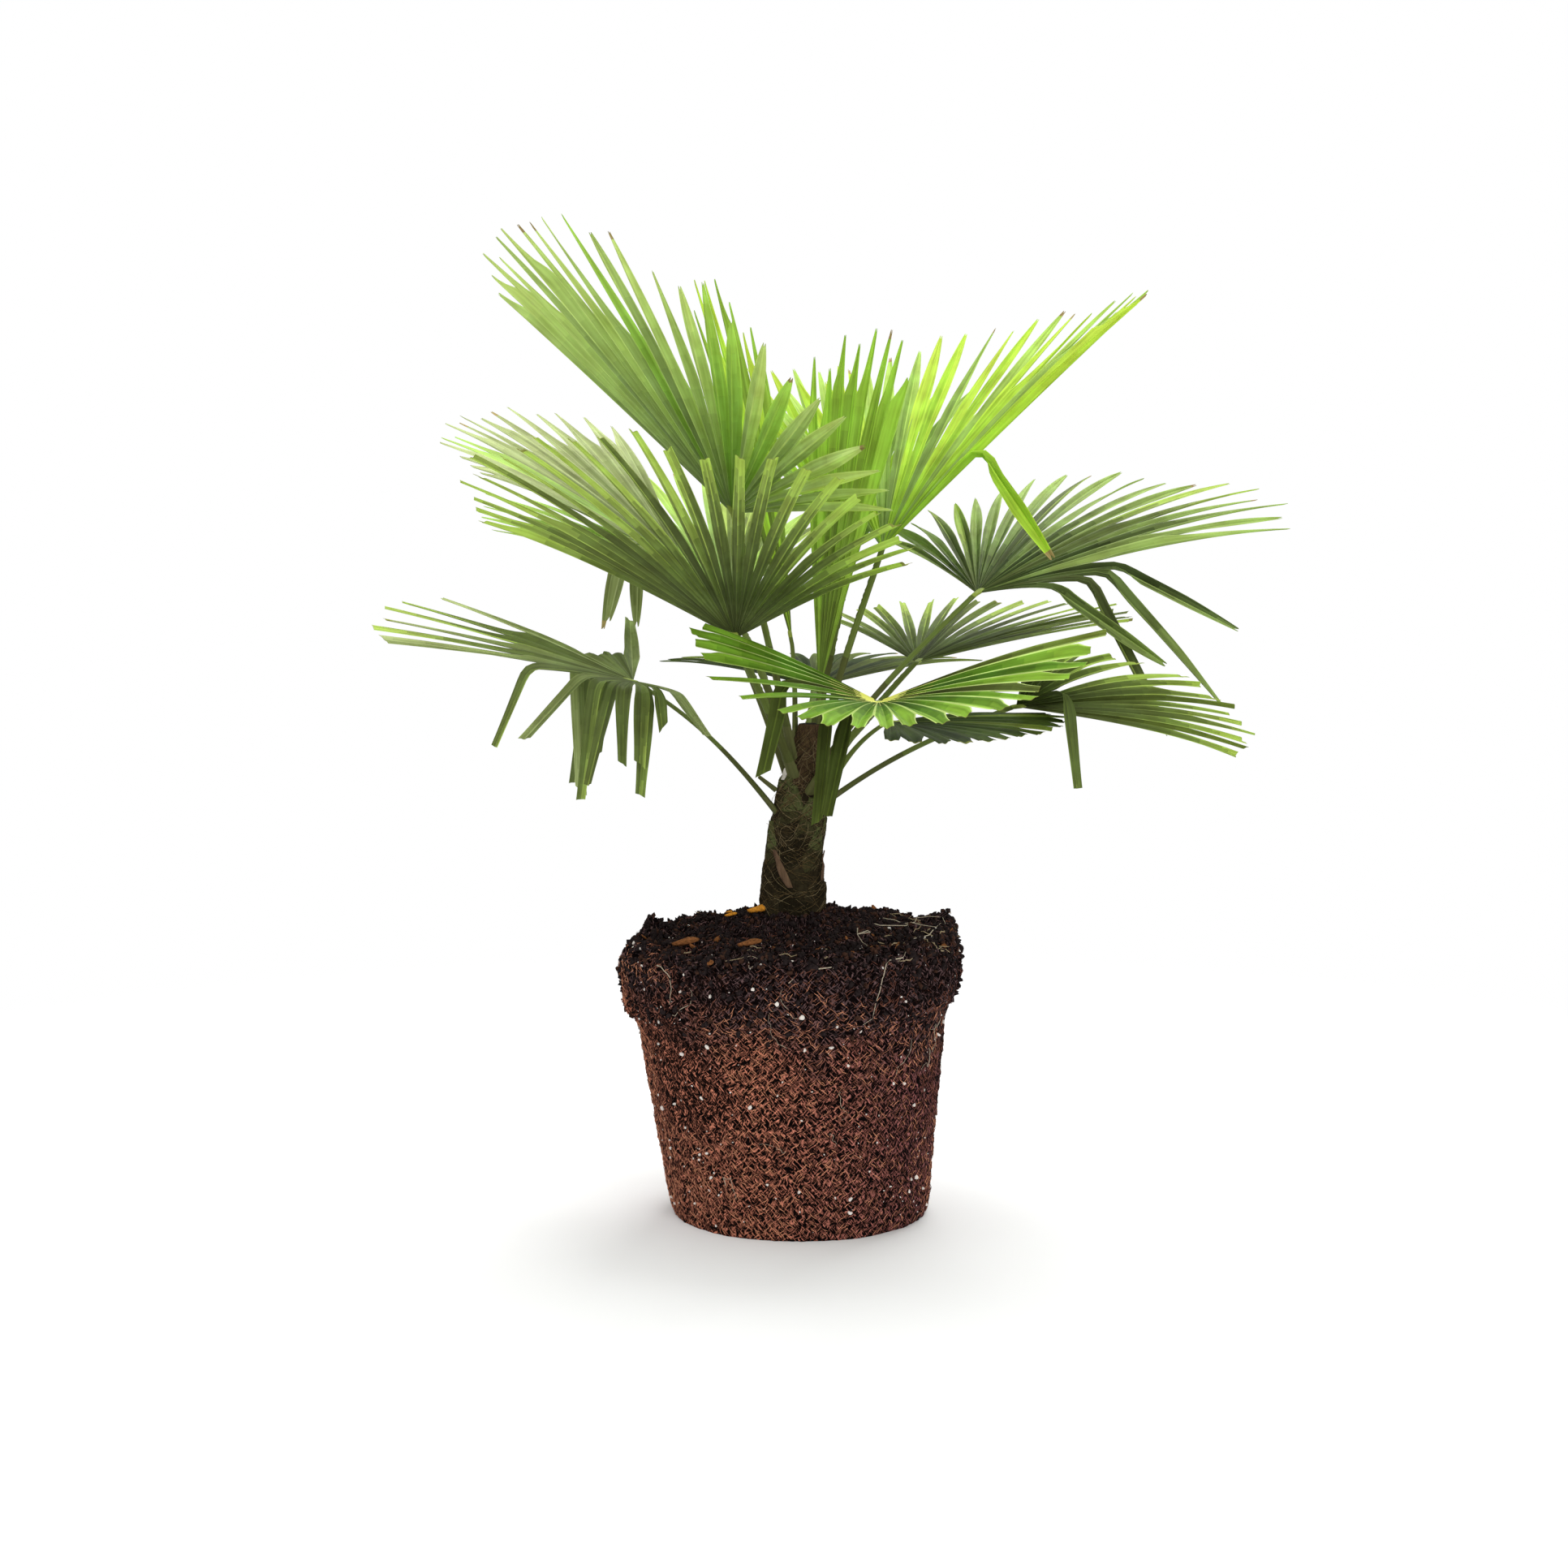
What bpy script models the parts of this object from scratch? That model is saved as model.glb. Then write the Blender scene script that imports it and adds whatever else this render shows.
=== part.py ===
"""A young Chinese windmill palm on its root ball: the ball, the trunk, the leaf stalks and the fans.

Metres, +Z up. The origin is the centre of the ball's flat underside. The photograph looks along +Y with
+X to its right. Angles are in degrees, and a compass angle runs from +X towards +Y.
"""

import math
import random
from collections import namedtuple

import bmesh
import bpy
from mathutils import Vector
from mathutils.bvhtree import BVHTree

GAP = 0.0003
WELD = 0.00001
SHARP_ANGLE = 40

# Root ball, moulded by the nursery pot that it was lifted from: radius and height, from the crown down
BALL_PROFILE = (
    (0.0000, 0.2515), (0.0300, 0.2505), (0.0520, 0.2470), (0.0840, 0.2415), (0.1120, 0.2370),
    (0.1290, 0.2315), (0.1380, 0.2225), (0.1405, 0.2080), (0.1395, 0.1900), (0.1370, 0.1770),
    (0.1300, 0.1690), (0.1262, 0.1560), (0.1235, 0.1320), (0.1200, 0.1040), (0.1165, 0.0760),
    (0.1130, 0.0480), (0.1095, 0.0200), (0.1060, 0.0020), (0.1020, -0.0120), (0.0000, -0.0120),
)
BALL_SIDES = 48
BALL_TILT = 2.4
CRUMB_HEIGHT = 0.004
CRUMB_SIZE = 0.022
SEAT_Z = 0.2475
FOOT_CUTTER = 0.4
SEAT_CUTTER = 0.1
SEAT_SIDES = 40

# Trunk: height above the seat and radius, with a step where each old leaf base ends
TRUNK_RINGS = (
    (0.0000, 0.0268), (0.0060, 0.0262), (0.0260, 0.0250), (0.0420, 0.0238), (0.0440, 0.0229),
    (0.0620, 0.0222), (0.0780, 0.0219), (0.0800, 0.0207), (0.0980, 0.0202), (0.1120, 0.0193),
    (0.1140, 0.0176), (0.1280, 0.0160), (0.1430, 0.0138), (0.1560, 0.0110),
)
TRUNK_FOOT = Vector((-0.007, 0.000, 0.000))
TRUNK_LEAN = 0.016
TRUNK_LEAN_POWER = 1.7
TRUNK_SIDE_STEPS = 8

# Leaf stalks. Each leaves the trunk climbing, and comes into its fan along the fan's middle line.
STALK_BASE_RADIUS = 0.0037
STALK_TIP_RADIUS = 0.0023
STALK_POINTS = 10
STALK_SIDE_STEPS = 1
STALK_RISE = 0.42
STALK_RUN_IN = 0.36
STALK_LIFT = 0.22
STALK_BEND_IN = 0.70
STALK_TIP_LENGTH = 0.008
STALK_TIP_REACH = 0.0049
STALK_OFFSET = 0.009

# Fans of leaflets. The palm is the part where they are joined, and the stations are where each has a pair
# of points, as shares of its length.
BLADE_THICKNESS = 0.0032
HUB_RADIUS = 0.006
PALM_SHARE = 0.14
WIDEST_LEAFLET = 0.0118
LEAFLET_FILL = 0.80
TAPER_FROM = 0.55
STATIONS = (0.42, 0.72, 1.00)
FOLDED_STATION = 0.60
UNEVEN_LENGTH = 0.05
UNEVEN_ANGLE = 0.16
UNEVEN_HANG = 0.25

# Ends of leaflets: the width left at the tip, for one grown to a point and one that was trimmed
POINTED = 0.20
CUT = 0.78

# Ribs of leaflets: the steps to the tip or the fold, then those of the turn and of the part that hangs
LINE_STEPS = 20
FOLD_TURNS = (0.35, 0.75)
FOLD_STEP = 0.006
HANG_STEPS = 6

# Keeping leaflets clear of each other: the swings tried in turn, and the shortest share worth keeping
CHECKED_FROM = 0.17
SHORTEST_SHARE = 0.40
CLEARANCE = 0.0009
SWINGS = (0.0, 0.10, -0.10, 0.20, -0.20, 0.32, -0.32, 0.46, -0.46)

# A fold turns the leaflets between two angles down, a share of the way along, to hang out and down
Fold = namedtuple("Fold", "left right share out length")

# hub is measured from the foot of the trunk. root is the compass angle and the height at which the stalk
# leaves the trunk. aim is the compass angle, the climb and the roll of the fan's middle line, and spread is
# the fan's angle to the left and to the right of it. cup lifts the sides, and droop bends the tips down.
Fan = namedtuple("Fan", "name hub root aim reach spread count cup droop shorter skew tip folds")

FANS = (
    Fan("low_left", (-0.127, -0.040, 0.441), (-165, 0.322), (-173, 15, -8),
        0.210, (137, 95), 19, 5, 0.08, 0.10, 0.00, CUT,
        (Fold(137, 125, 0.21, 1.05, 0.042), Fold(125, 113, 0.14, 0.00, 0.022), Fold(113, 100, 0.12, -0.30, 0.074),
         Fold(100, 88, 0.20, -0.30, 0.062), Fold(88, 76, 0.28, 0.30, 0.062), Fold(76, 64, 0.22, 1.00, 0.084),
         Fold(64, 52, 0.25, 0.50, 0.078), Fold(52, 39, 0.26, 1.30, 0.070), Fold(39, 27, 0.47, 0.75, 0.052),
         Fold(-46, -58, 0.30, 0.05, 0.088), Fold(-58, -71, 0.32, 0.30, 0.140), Fold(-71, -83, 0.37, 0.40, 0.120))),
    Fan("low_right", (0.180, -0.030, 0.420), (-4, 0.330), (-45, 9, -26),
        0.200, (40, 46), 16, 0, 0.22, 0.26, 0.03, CUT, (Fold(-14, -19, 0.33, 0.00, 0.062),)),
    Fan("low_front", (0.078, -0.060, 0.410), (-40, 0.318), (-30, 0, 4),
        0.136, (50, 66), 14, 5, 0.08, 0.10, 0.00, CUT, ()),
    Fan("low_back", (0.020, 0.135, 0.425), (88, 0.330), (88, 8, 0),
        0.220, (56, 56), 17, 10, 0.20, 0.22, 0.00, POINTED, ()),
    Fan("back_right", (0.105, 0.070, 0.450), (38, 0.340), (62, 14, 0),
        0.218, (56, 56), 18, 10, 0.11, 0.14, 0.01, CUT, ()),
    Fan("right", (0.150, 0.000, 0.510), (8, 0.362), (48, 22, 6),
        0.300, (63, 58), 24, 2, 0.20, 0.33, -0.06, POINTED,
        (Fold(-38, -43, 0.41, 2.05, 0.094), Fold(-43, -48, 0.39, 0.95, 0.160), Fold(-48, -53, 0.34, 0.50, 0.122),
         Fold(-53, -58, 0.23, 1.65, 0.124))),
    Fan("left", (-0.090, 0.090, 0.530), (138, 0.350), (170, 35, -10),
        0.230, (66, 48), 19, 22, 0.17, 0.07, -0.01, POINTED, (Fold(66, 46, 0.32, 0.25, 0.075),)),
    Fan("back_left", (-0.055, 0.125, 0.500), (112, 0.356), (118, 28, 0),
        0.260, (58, 58), 19, 10, 0.16, 0.22, 0.00, POINTED, ()),
    Fan("front_left", (-0.044, -0.090, 0.478), (-112, 0.352), (-101, 31, -4),
        0.310, (52, 52), 24, 16, 0.19, 0.37, -0.05, CUT, ()),
    Fan("front_right", (0.066, -0.130, 0.431), (-62, 0.342), (-106, 1, -7),
        0.180, (80, 68), 24, 32, 0.10, 0.08, 0.14, CUT,
        (Fold(-13, -19, 0.19, 0.30, 0.068), Fold(-25, -31, 0.26, 0.05, 0.074), Fold(-37, -43, 0.50, 0.45, 0.064))),
    Fan("upper_left", (-0.047, -0.060, 0.575), (-140, 0.366), (-111, 40, -27),
        0.298, (66, 58), 24, 6, 0.02, 0.28, -0.03, POINTED, ()),
    Fan("upper_right", (0.074, 0.020, 0.546), (22, 0.374), (71, 38, -8),
        0.300, (40, 64), 24, 50, 0.03, 0.33, -0.20, POINTED, (Fold(-60, -64, 0.39, 0.80, 0.078),)),
    Fan("upper_back", (0.050, 0.085, 0.545), (64, 0.372), (82, 40, 14),
        0.250, (52, 32), 16, 30, 0.12, 0.20, -0.05, POINTED, ()),
    Fan("young_left", (0.000, 0.020, 0.470), (170, 0.384), (160, 78, 0),
        0.285, (17, 17), 8, 5, 0.05, 0.10, 0.10, POINTED, ()),
    Fan("young_right", (0.022, 0.008, 0.430), (-30, 0.390), (40, 80, 0),
        0.290, (14, 14), 8, 5, 0.05, 0.06, 0.00, POINTED, ()),
)

# Base colours, roughness
SOIL = ((0.050, 0.022, 0.015, 1.0), 0.95)
BARK = ((0.055, 0.038, 0.022, 1.0), 0.90)
STALK = ((0.065, 0.095, 0.022, 1.0), 0.55)
LEAF = ((0.090, 0.200, 0.028, 1.0), 0.45)


def clear_scene():
    """Remove whatever the scene holds."""
    for thing in list(bpy.data.objects):
        bpy.data.objects.remove(thing, do_unlink=True)


def collection(name, hidden):
    """Make a collection in the scene."""
    made = bpy.data.collections.new(name)
    made.hide_render = hidden
    bpy.context.scene.collection.children.link(made)
    return made


def material(name, look):
    """Make a plain Principled material."""
    made = bpy.data.materials.new(name)
    made.use_nodes = True
    shader = made.node_tree.nodes["Principled BSDF"]
    shader.inputs["Base Color"].default_value = look[0]
    shader.inputs["Roughness"].default_value = look[1]
    shader.inputs["Metallic"].default_value = 0.0
    return made


def add_mesh(name, place, points, edges, faces, group, look):
    """Add a mesh object, its points given from its own place."""
    mesh = bpy.data.meshes.new(name)
    mesh.from_pydata([tuple(point) for point in points], edges, faces)
    mesh.materials.append(material(name, look))
    thing = bpy.data.objects.new(name, mesh)
    thing.location = place
    group.objects.link(thing)
    return thing


def as_mesh(curve):
    """Turn a curve object into a mesh object in the same place, with its caps welded on."""
    bpy.context.view_layer.update()
    graph = bpy.context.evaluated_depsgraph_get()
    mesh = bpy.data.meshes.new_from_object(curve.evaluated_get(graph), depsgraph=graph)
    work = bmesh.new()
    work.from_mesh(mesh)
    bmesh.ops.remove_doubles(work, verts=work.verts, dist=WELD)
    work.to_mesh(mesh)
    work.free()
    mesh.shade_smooth()
    mesh.set_sharp_from_angle(angle=math.radians(SHARP_ANGLE))
    name = curve.name
    place = curve.matrix_world.copy()
    group = curve.users_collection[0]
    bpy.data.objects.remove(curve)
    thing = bpy.data.objects.new(name, mesh)
    thing.matrix_world = place
    group.objects.link(thing)
    return thing


def cut_away(thing, cutter):
    """Take a cutter's space out of an object."""
    cut = thing.modifiers.new("Cut for " + cutter.name, "BOOLEAN")
    cut.operation = "DIFFERENCE"
    cut.solver = "EXACT"
    cut.object = cutter


def tube(name, place, points, radii, side_steps, group, look):
    """Sweep a round section of changing radius along points, with flat ends."""
    curve = bpy.data.curves.new(name, "CURVE")
    curve.dimensions = "3D"
    curve.bevel_depth = 1.0
    curve.bevel_resolution = side_steps
    curve.use_fill_caps = True
    spline = curve.splines.new("POLY")
    spline.points.add(len(points) - 1)
    for knot, point, radius in zip(spline.points, points, radii):
        knot.co = (*point, 1.0)
        knot.radius = radius
    swept = bpy.data.objects.new(name, curve)
    swept.location = place
    group.objects.link(swept)
    thing = as_mesh(swept)
    thing.data.materials.append(material(name, look))
    return thing


def root_ball(parts, cutters):
    """Turn the ball, tilt and roughen it, and cut its foot and the trunk's seat flat."""
    outline = [(radius, 0.0, z) for radius, z in BALL_PROFILE]
    edges = [(index, index + 1) for index in range(len(outline) - 1)]
    ball = add_mesh("root_ball", (0.0, 0.0, 0.0), outline, edges, [], parts, SOIL)
    ball.rotation_euler = (0.0, -math.radians(BALL_TILT), 0.0)
    turn = ball.modifiers.new("Turn", "SCREW")
    turn.steps = BALL_SIDES
    turn.render_steps = BALL_SIDES
    turn.use_merge_vertices = True
    turn.merge_threshold = 0.0001
    turn.use_smooth_shade = True
    crumbs = bpy.data.textures.new("Crumbs", "CLOUDS")
    crumbs.noise_scale = CRUMB_SIZE
    rough = ball.modifiers.new("Crumbs", "DISPLACE")
    rough.texture = crumbs
    rough.texture_coords = "LOCAL"
    rough.strength = CRUMB_HEIGHT
    bpy.ops.mesh.primitive_cube_add(size=FOOT_CUTTER, location=(0.0, 0.0, -0.5 * FOOT_CUTTER))
    cut_away(ball, as_cutter("foot_cutter", cutters))
    middle = TRUNK_FOOT + Vector((0.0, 0.0, SEAT_Z + 0.5 * SEAT_CUTTER))
    radius = TRUNK_RINGS[0][1] + GAP
    bpy.ops.mesh.primitive_cylinder_add(
        vertices=SEAT_SIDES, radius=radius, depth=SEAT_CUTTER, location=middle
    )
    cut_away(ball, as_cutter("seat_cutter", cutters))
    return ball


def as_cutter(name, cutters):
    """Name the object just added and move it to the cutters."""
    thing = bpy.context.object
    thing.name = name
    thing.display_type = "WIRE"
    thing.hide_render = True
    for group in list(thing.users_collection):
        group.objects.unlink(thing)
    cutters.objects.link(thing)
    return thing


def trunk_axis(z):
    """Give the trunk's centre at a height, from its foot."""
    share = max(0.0, (z - SEAT_Z) / TRUNK_RINGS[-1][0])
    return Vector((TRUNK_LEAN * share ** TRUNK_LEAN_POWER, 0.0, z))


def trunk(name, swell, group):
    """Make the leaning trunk from its flat cut in the soil, swelled by a clearance where asked."""
    points = [trunk_axis(SEAT_Z + GAP + height) for height, radius in TRUNK_RINGS]
    points[1].x = points[0].x
    radii = [radius + swell for height, radius in TRUNK_RINGS]
    return tube(name, TRUNK_FOOT, points, radii, TRUNK_SIDE_STEPS, group, BARK)


def fan_frame(fan):
    """Give a fan's forward, left and upper directions."""
    compass, climb, roll = (math.radians(angle) for angle in fan.aim)
    level = math.cos(climb)
    forward = Vector((level * math.cos(compass), level * math.sin(compass), math.sin(climb)))
    across = Vector((-math.sin(compass), math.cos(compass), 0.0))
    left = across * math.cos(roll) + forward.cross(across) * math.sin(roll)
    return forward, left, forward.cross(left)


def hub_of(fan):
    """Give the point that a fan's leaflets spread from."""
    return TRUNK_FOOT + Vector(fan.hub)


def direction(fan, angle):
    """Give the way that a leaflet leaves the hub, with the fan's sides cupped up."""
    forward, left, upper = fan_frame(fan)
    turn = math.radians(angle)
    lift = math.radians(fan.cup) * (1.0 - math.cos(turn))
    flat = forward * math.cos(turn) + left * math.sin(turn)
    return flat * math.cos(lift) + upper * math.sin(lift)


def uneven(fan, index, kind):
    """Give a number between -1 and 1 that stays the same for one leaflet of one fan."""
    return random.Random(f"{fan.name} {index} {kind}").uniform(-1.0, 1.0)


def leaflet_angle(fan, index):
    """Give a leaflet's angle to the left of the fan's middle."""
    step = sum(fan.spread) / fan.count
    return fan.spread[0] - step * (index + 0.5 + UNEVEN_ANGLE * uneven(fan, index, "angle"))


def leaflet_length(fan, index):
    """Give a leaflet's length, shorter towards the fan's sides."""
    out = leaflet_angle(fan, index) / max(fan.spread)
    length = fan.reach * (1.0 - fan.shorter * out * out + fan.skew * out)
    return length * (1.0 + UNEVEN_LENGTH * uneven(fan, index, "length"))


def fold_of(fan, angle):
    """Find the fold that a leaflet has, if any."""
    for fold in fan.folds:
        if fold.right <= angle <= fold.left:
            return fold
    return None


def leaflet_line(fan, index, swing):
    """Follow a leaflet's rib from the hub to its tip, swung up or down as asked."""
    angle = leaflet_angle(fan, index)
    fold = fold_of(fan, angle)
    way = direction(fan, angle)
    upper = fan_frame(fan)[2]
    reach = leaflet_length(fan, index)
    if fold:
        reach = reach * fold.share
    point = hub_of(fan)
    line = [point.copy()]
    for step in range(LINE_STEPS):
        share = (step + 0.5) / LINE_STEPS
        bend = Vector((0.0, 0.0, -fan.droop)) + upper * swing
        heading = (way + bend * share * share).normalized()
        point = point + heading * reach / LINE_STEPS
        line.append(point.copy())
    if fold:
        line = line + hanging_line(point, way, fold, uneven(fan, index, "hang"), uneven(fan, index, "sway"))
    return line


def hanging_line(start, way, fold, stretch, sway):
    """Carry a folded leaflet on from its fold, out a little and down."""
    level = Vector((way.x, way.y, 0.0)).normalized()
    out = fold.out + UNEVEN_HANG * sway
    down = (level * out + Vector((0.0, 0.0, -1.0))).normalized()
    turned = [(way * (1.0 - share) + down * share).normalized() for share in FOLD_TURNS]
    points = [start + turned[0] * FOLD_STEP]
    points.append(points[-1] + turned[1] * FOLD_STEP)
    length = fold.length * (1.0 + UNEVEN_HANG * stretch)
    for step in range(1, HANG_STEPS + 1):
        points.append(points[1] + down * length * step / HANG_STEPS)
    return points


def lengths_along(line):
    """Give the distance from the hub at each point of a rib."""
    total = [0.0]
    for first, second in zip(line, line[1:]):
        total.append(total[-1] + (second - first).length)
    return total


def half_width(fan, far, length):
    """Give half a leaflet's width at a distance from the hub."""
    step = math.radians(sum(fan.spread) / fan.count)
    full = min(far * step * LEAFLET_FILL, WIDEST_LEAFLET)
    share = (far / length - TAPER_FROM) / (1.0 - TAPER_FROM)
    return 0.5 * full * (1.0 - (1.0 - fan.tip) * max(0.0, share))


def leaflet_side(fan, index):
    """Give the way across a leaflet."""
    angle = leaflet_angle(fan, index)
    return (direction(fan, angle + 1.0) - direction(fan, angle - 1.0)).normalized()


def sleeve(fan, index, line):
    """Give the faces of the space that a leaflet needs, four for each step of its rib."""
    side = leaflet_side(fan, index)
    far = lengths_along(line)
    thick = 0.5 * BLADE_THICKNESS + CLEARANCE
    points = []
    for number, point in enumerate(line):
        ahead = line[min(number + 1, len(line) - 1)] - line[max(number - 1, 0)]
        up = ahead.cross(side).normalized()
        wide = half_width(fan, far[number], far[-1]) + CLEARANCE
        corners = ((1, 1), (1, -1), (-1, -1), (-1, 1))
        points.extend(point + side * wide * a + up * thick * b for a, b in corners)
    faces = []
    for number in range(len(line) - 1):
        for corner in range(4):
            other = (corner + 1) % 4
            low = number * 4
            faces.append((low + corner, low + other, low + 4 + other, low + 4 + corner))
    return points, faces


def clear_steps(fan, index, line, obstacles):
    """Count the steps of a rib that run clear of everything placed so far."""
    points, faces = sleeve(fan, index, line)
    skip = 4 * math.ceil(CHECKED_FROM * LINE_STEPS)
    tree = BVHTree.FromPolygons(points, faces[skip:])
    hits = [pair[0] // 4 for pair in tree.overlap(obstacles)]
    first = min(hits) + skip // 4 if hits else len(line)
    return min(first, len(line) - 1)


def placed_line(fan, index, obstacles):
    """Choose the swing that leaves a leaflet longest, and end it where it would touch something."""
    best = []
    for swing in SWINGS:
        line = leaflet_line(fan, index, swing)
        steps = clear_steps(fan, index, line, obstacles)
        if steps == len(line) - 1:
            return line
        if steps > len(best):
            best = line[:steps]
    past_fold = len(best) - LINE_STEPS - 1
    if 0 < past_fold <= len(FOLD_TURNS) + 1:
        best = best[:LINE_STEPS + 1]
    share = len(best) / (LINE_STEPS + 1)
    return best if share > SHORTEST_SHARE else []


def point_at(line, far):
    """Find the point at a distance along a rib."""
    total = lengths_along(line)
    for number in range(1, len(line)):
        if total[number] >= far:
            part = (far - total[number - 1]) / (total[number] - total[number - 1])
            return line[number - 1].lerp(line[number], part)
    return line[-1].copy()


def leaflet_stations(line):
    """Choose where along its rib a leaflet gets a pair of points."""
    total = lengths_along(line)
    if len(line) <= LINE_STEPS + 1:
        return [share * total[-1] for share in STATIONS]
    turn = total[LINE_STEPS:LINE_STEPS + len(FOLD_TURNS) + 1]
    return [FOLDED_STATION * turn[0], *turn, 0.5 * (turn[0] + total[-1]), total[-1]]


def blade(fan, obstacles, group):
    """Make a fan: a joined palm round the hub, and a leaflet beyond it for each rib."""
    count = fan.count
    step = sum(fan.spread) / count
    ring = PALM_SHARE * fan.reach
    edges = [fan.spread[0] - step * number for number in range(count + 1)]
    points = [direction(fan, angle) * HUB_RADIUS for angle in edges]
    points += [direction(fan, angle) * ring for angle in edges]
    faces = [(n, n + 1, count + 2 + n, count + 1 + n) for n in range(count)]
    for index in range(count):
        line = placed_line(fan, index, obstacles)
        if not line:
            continue
        side = leaflet_side(fan, index)
        total = lengths_along(line)[-1]
        left, right = count + 1 + index, count + 2 + index
        for far in leaflet_stations(line):
            wide = half_width(fan, far, total)
            middle = point_at(line, far) - hub_of(fan)
            points += [middle + side * wide, middle - side * wide]
            faces.append((left, right, len(points) - 1, len(points) - 2))
            left, right = len(points) - 2, len(points) - 1
    thing = add_mesh("blade_" + fan.name, hub_of(fan), points, [], faces, group, LEAF)
    thick = thing.modifiers.new("Thickness", "SOLIDIFY")
    thick.thickness = BLADE_THICKNESS
    thick.offset = 0.0
    return thing


def stalk(fan, trunk_space, group):
    """Sweep a stalk from the trunk to its fan, tapering, and seat it clear of the trunk."""
    compass, z = math.radians(fan.root[0]), fan.root[1]
    forward = fan_frame(fan)[0]
    start = trunk_axis(z) + Vector((math.cos(compass), math.sin(compass), 0.0)) * STALK_OFFSET
    tip = Vector(fan.hub) + forward * STALK_TIP_REACH
    end = tip - forward * STALK_TIP_LENGTH
    span = (end - start).length
    chord = (end - start).normalized()
    leave = (chord + Vector((0.0, 0.0, STALK_LIFT))).normalized()
    arrive = (chord + forward * STALK_BEND_IN).normalized()
    knots = (start, start + leave * span * STALK_RISE, end - arrive * span * STALK_RUN_IN, end)
    points = [bezier(knots, step / (STALK_POINTS - 1)) for step in range(STALK_POINTS)]
    points.append(tip)
    change = STALK_TIP_RADIUS - STALK_BASE_RADIUS
    radii = [STALK_BASE_RADIUS + change * step / STALK_POINTS for step in range(STALK_POINTS + 1)]
    thing = tube("stalk_" + fan.name, TRUNK_FOOT, points, radii, STALK_SIDE_STEPS, group, STALK)
    cut_away(thing, trunk_space)
    return thing


def bezier(knots, share):
    """Give a point of a curve through four knots."""
    rest = 1.0 - share
    weights = (rest ** 3, 3 * rest * rest * share, 3 * rest * share * share, share ** 3)
    return sum((knot * weight for knot, weight in zip(knots, weights)), Vector((0.0, 0.0, 0.0)))


def obstacle_tree(things):
    """Gather the surfaces of finished objects for the clearance test."""
    bpy.context.view_layer.update()
    graph = bpy.context.evaluated_depsgraph_get()
    points = []
    faces = []
    for thing in things:
        shape = thing.evaluated_get(graph)
        mesh = shape.to_mesh()
        start = len(points)
        points.extend(shape.matrix_world @ vertex.co for vertex in mesh.vertices)
        faces.extend([start + corner for corner in face.vertices] for face in mesh.polygons)
        shape.to_mesh_clear()
    return BVHTree.FromPolygons(points, faces)


def build():
    """Build the palm."""
    clear_scene()
    parts = collection("windmill_palm", False)
    cutters = collection("cutters", True)
    trunk_space = trunk("trunk_space", GAP, cutters)
    trunk_space.display_type = "WIRE"
    trunk_space.hide_render = True
    made = [root_ball(parts, cutters), trunk("trunk", 0.0, parts)]
    made += [stalk(fan, trunk_space, parts) for fan in FANS]
    for fan in FANS:
        made.append(blade(fan, obstacle_tree(made), parts))


build()
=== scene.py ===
# %% [markdown]
# # A young windmill palm on its root ball
# The photograph shows a fan palm that was lifted out of its pot, so the soil keeps the pot's shape.
# A fixed model of plain solids comes in first: the ball, the trunk, a stalk and a blade for each fan.
# Everything made here stands in for one of those solids and keeps its place, so that the fine palm
# and the plain one can be used for each other.

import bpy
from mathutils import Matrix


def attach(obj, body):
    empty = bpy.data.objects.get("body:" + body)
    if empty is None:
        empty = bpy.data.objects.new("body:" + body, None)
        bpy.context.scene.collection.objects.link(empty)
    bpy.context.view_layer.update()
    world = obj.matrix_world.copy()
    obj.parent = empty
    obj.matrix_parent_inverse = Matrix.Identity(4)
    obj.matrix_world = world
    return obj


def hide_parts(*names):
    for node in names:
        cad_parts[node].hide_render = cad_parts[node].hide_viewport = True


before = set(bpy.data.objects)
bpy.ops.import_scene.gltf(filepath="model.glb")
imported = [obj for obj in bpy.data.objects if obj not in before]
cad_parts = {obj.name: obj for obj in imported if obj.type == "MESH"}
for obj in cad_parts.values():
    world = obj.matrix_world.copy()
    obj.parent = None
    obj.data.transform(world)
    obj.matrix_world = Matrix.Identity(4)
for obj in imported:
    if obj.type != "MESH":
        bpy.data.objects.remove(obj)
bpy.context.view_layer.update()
print("fixed solids:", len(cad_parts))

# %% The modules that the lesson uses
import math
import random
from collections import namedtuple

import bmesh
import bpy
import numpy as np
from mathutils import Vector
from mathutils.bvhtree import BVHTree

# %% [markdown]
# ## Camera
# The photograph was taken from a little above the trunk's top, a few steps back. A longer lens from there
# keeps the ball's sides nearly straight. The lens is worked out from the width that the palm takes up in
# the picture, so the render and the photograph can be laid over each other.

# %% Stand the camera where the photograph was taken
CAMERA_PLACE = (-0.0135, -2.2, 0.58)
CAMERA_AIM_Z = 0.354
SENSOR = 36.0
LENS = 62.12

camera = bpy.data.objects.new("camera", bpy.data.cameras.new("camera"))
camera.data.lens = LENS
camera.data.sensor_width = SENSOR
camera.location = CAMERA_PLACE
pitch = math.atan2(CAMERA_PLACE[2] - CAMERA_AIM_Z, -CAMERA_PLACE[1])
camera.rotation_euler = (0.5 * math.pi - pitch, 0.0, 0.0)
bpy.context.scene.collection.objects.link(camera)
bpy.context.scene.camera = camera
print("camera looks down by", round(math.degrees(pitch), 2), "degrees")

# %% [markdown]
# ## Light and floor
# The palm stands in a bright white studio: light comes softly from everywhere, most of it from above and
# behind, so the upper fans glow and the lower ones sit in their shade. A world of plain white would light
# the undersides too much. So the camera sees white all round, while the palm is lit by a dimmer world and
# three large soft lamps. The floor is a pale disc that fades into the white, so it has no edge.

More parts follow.
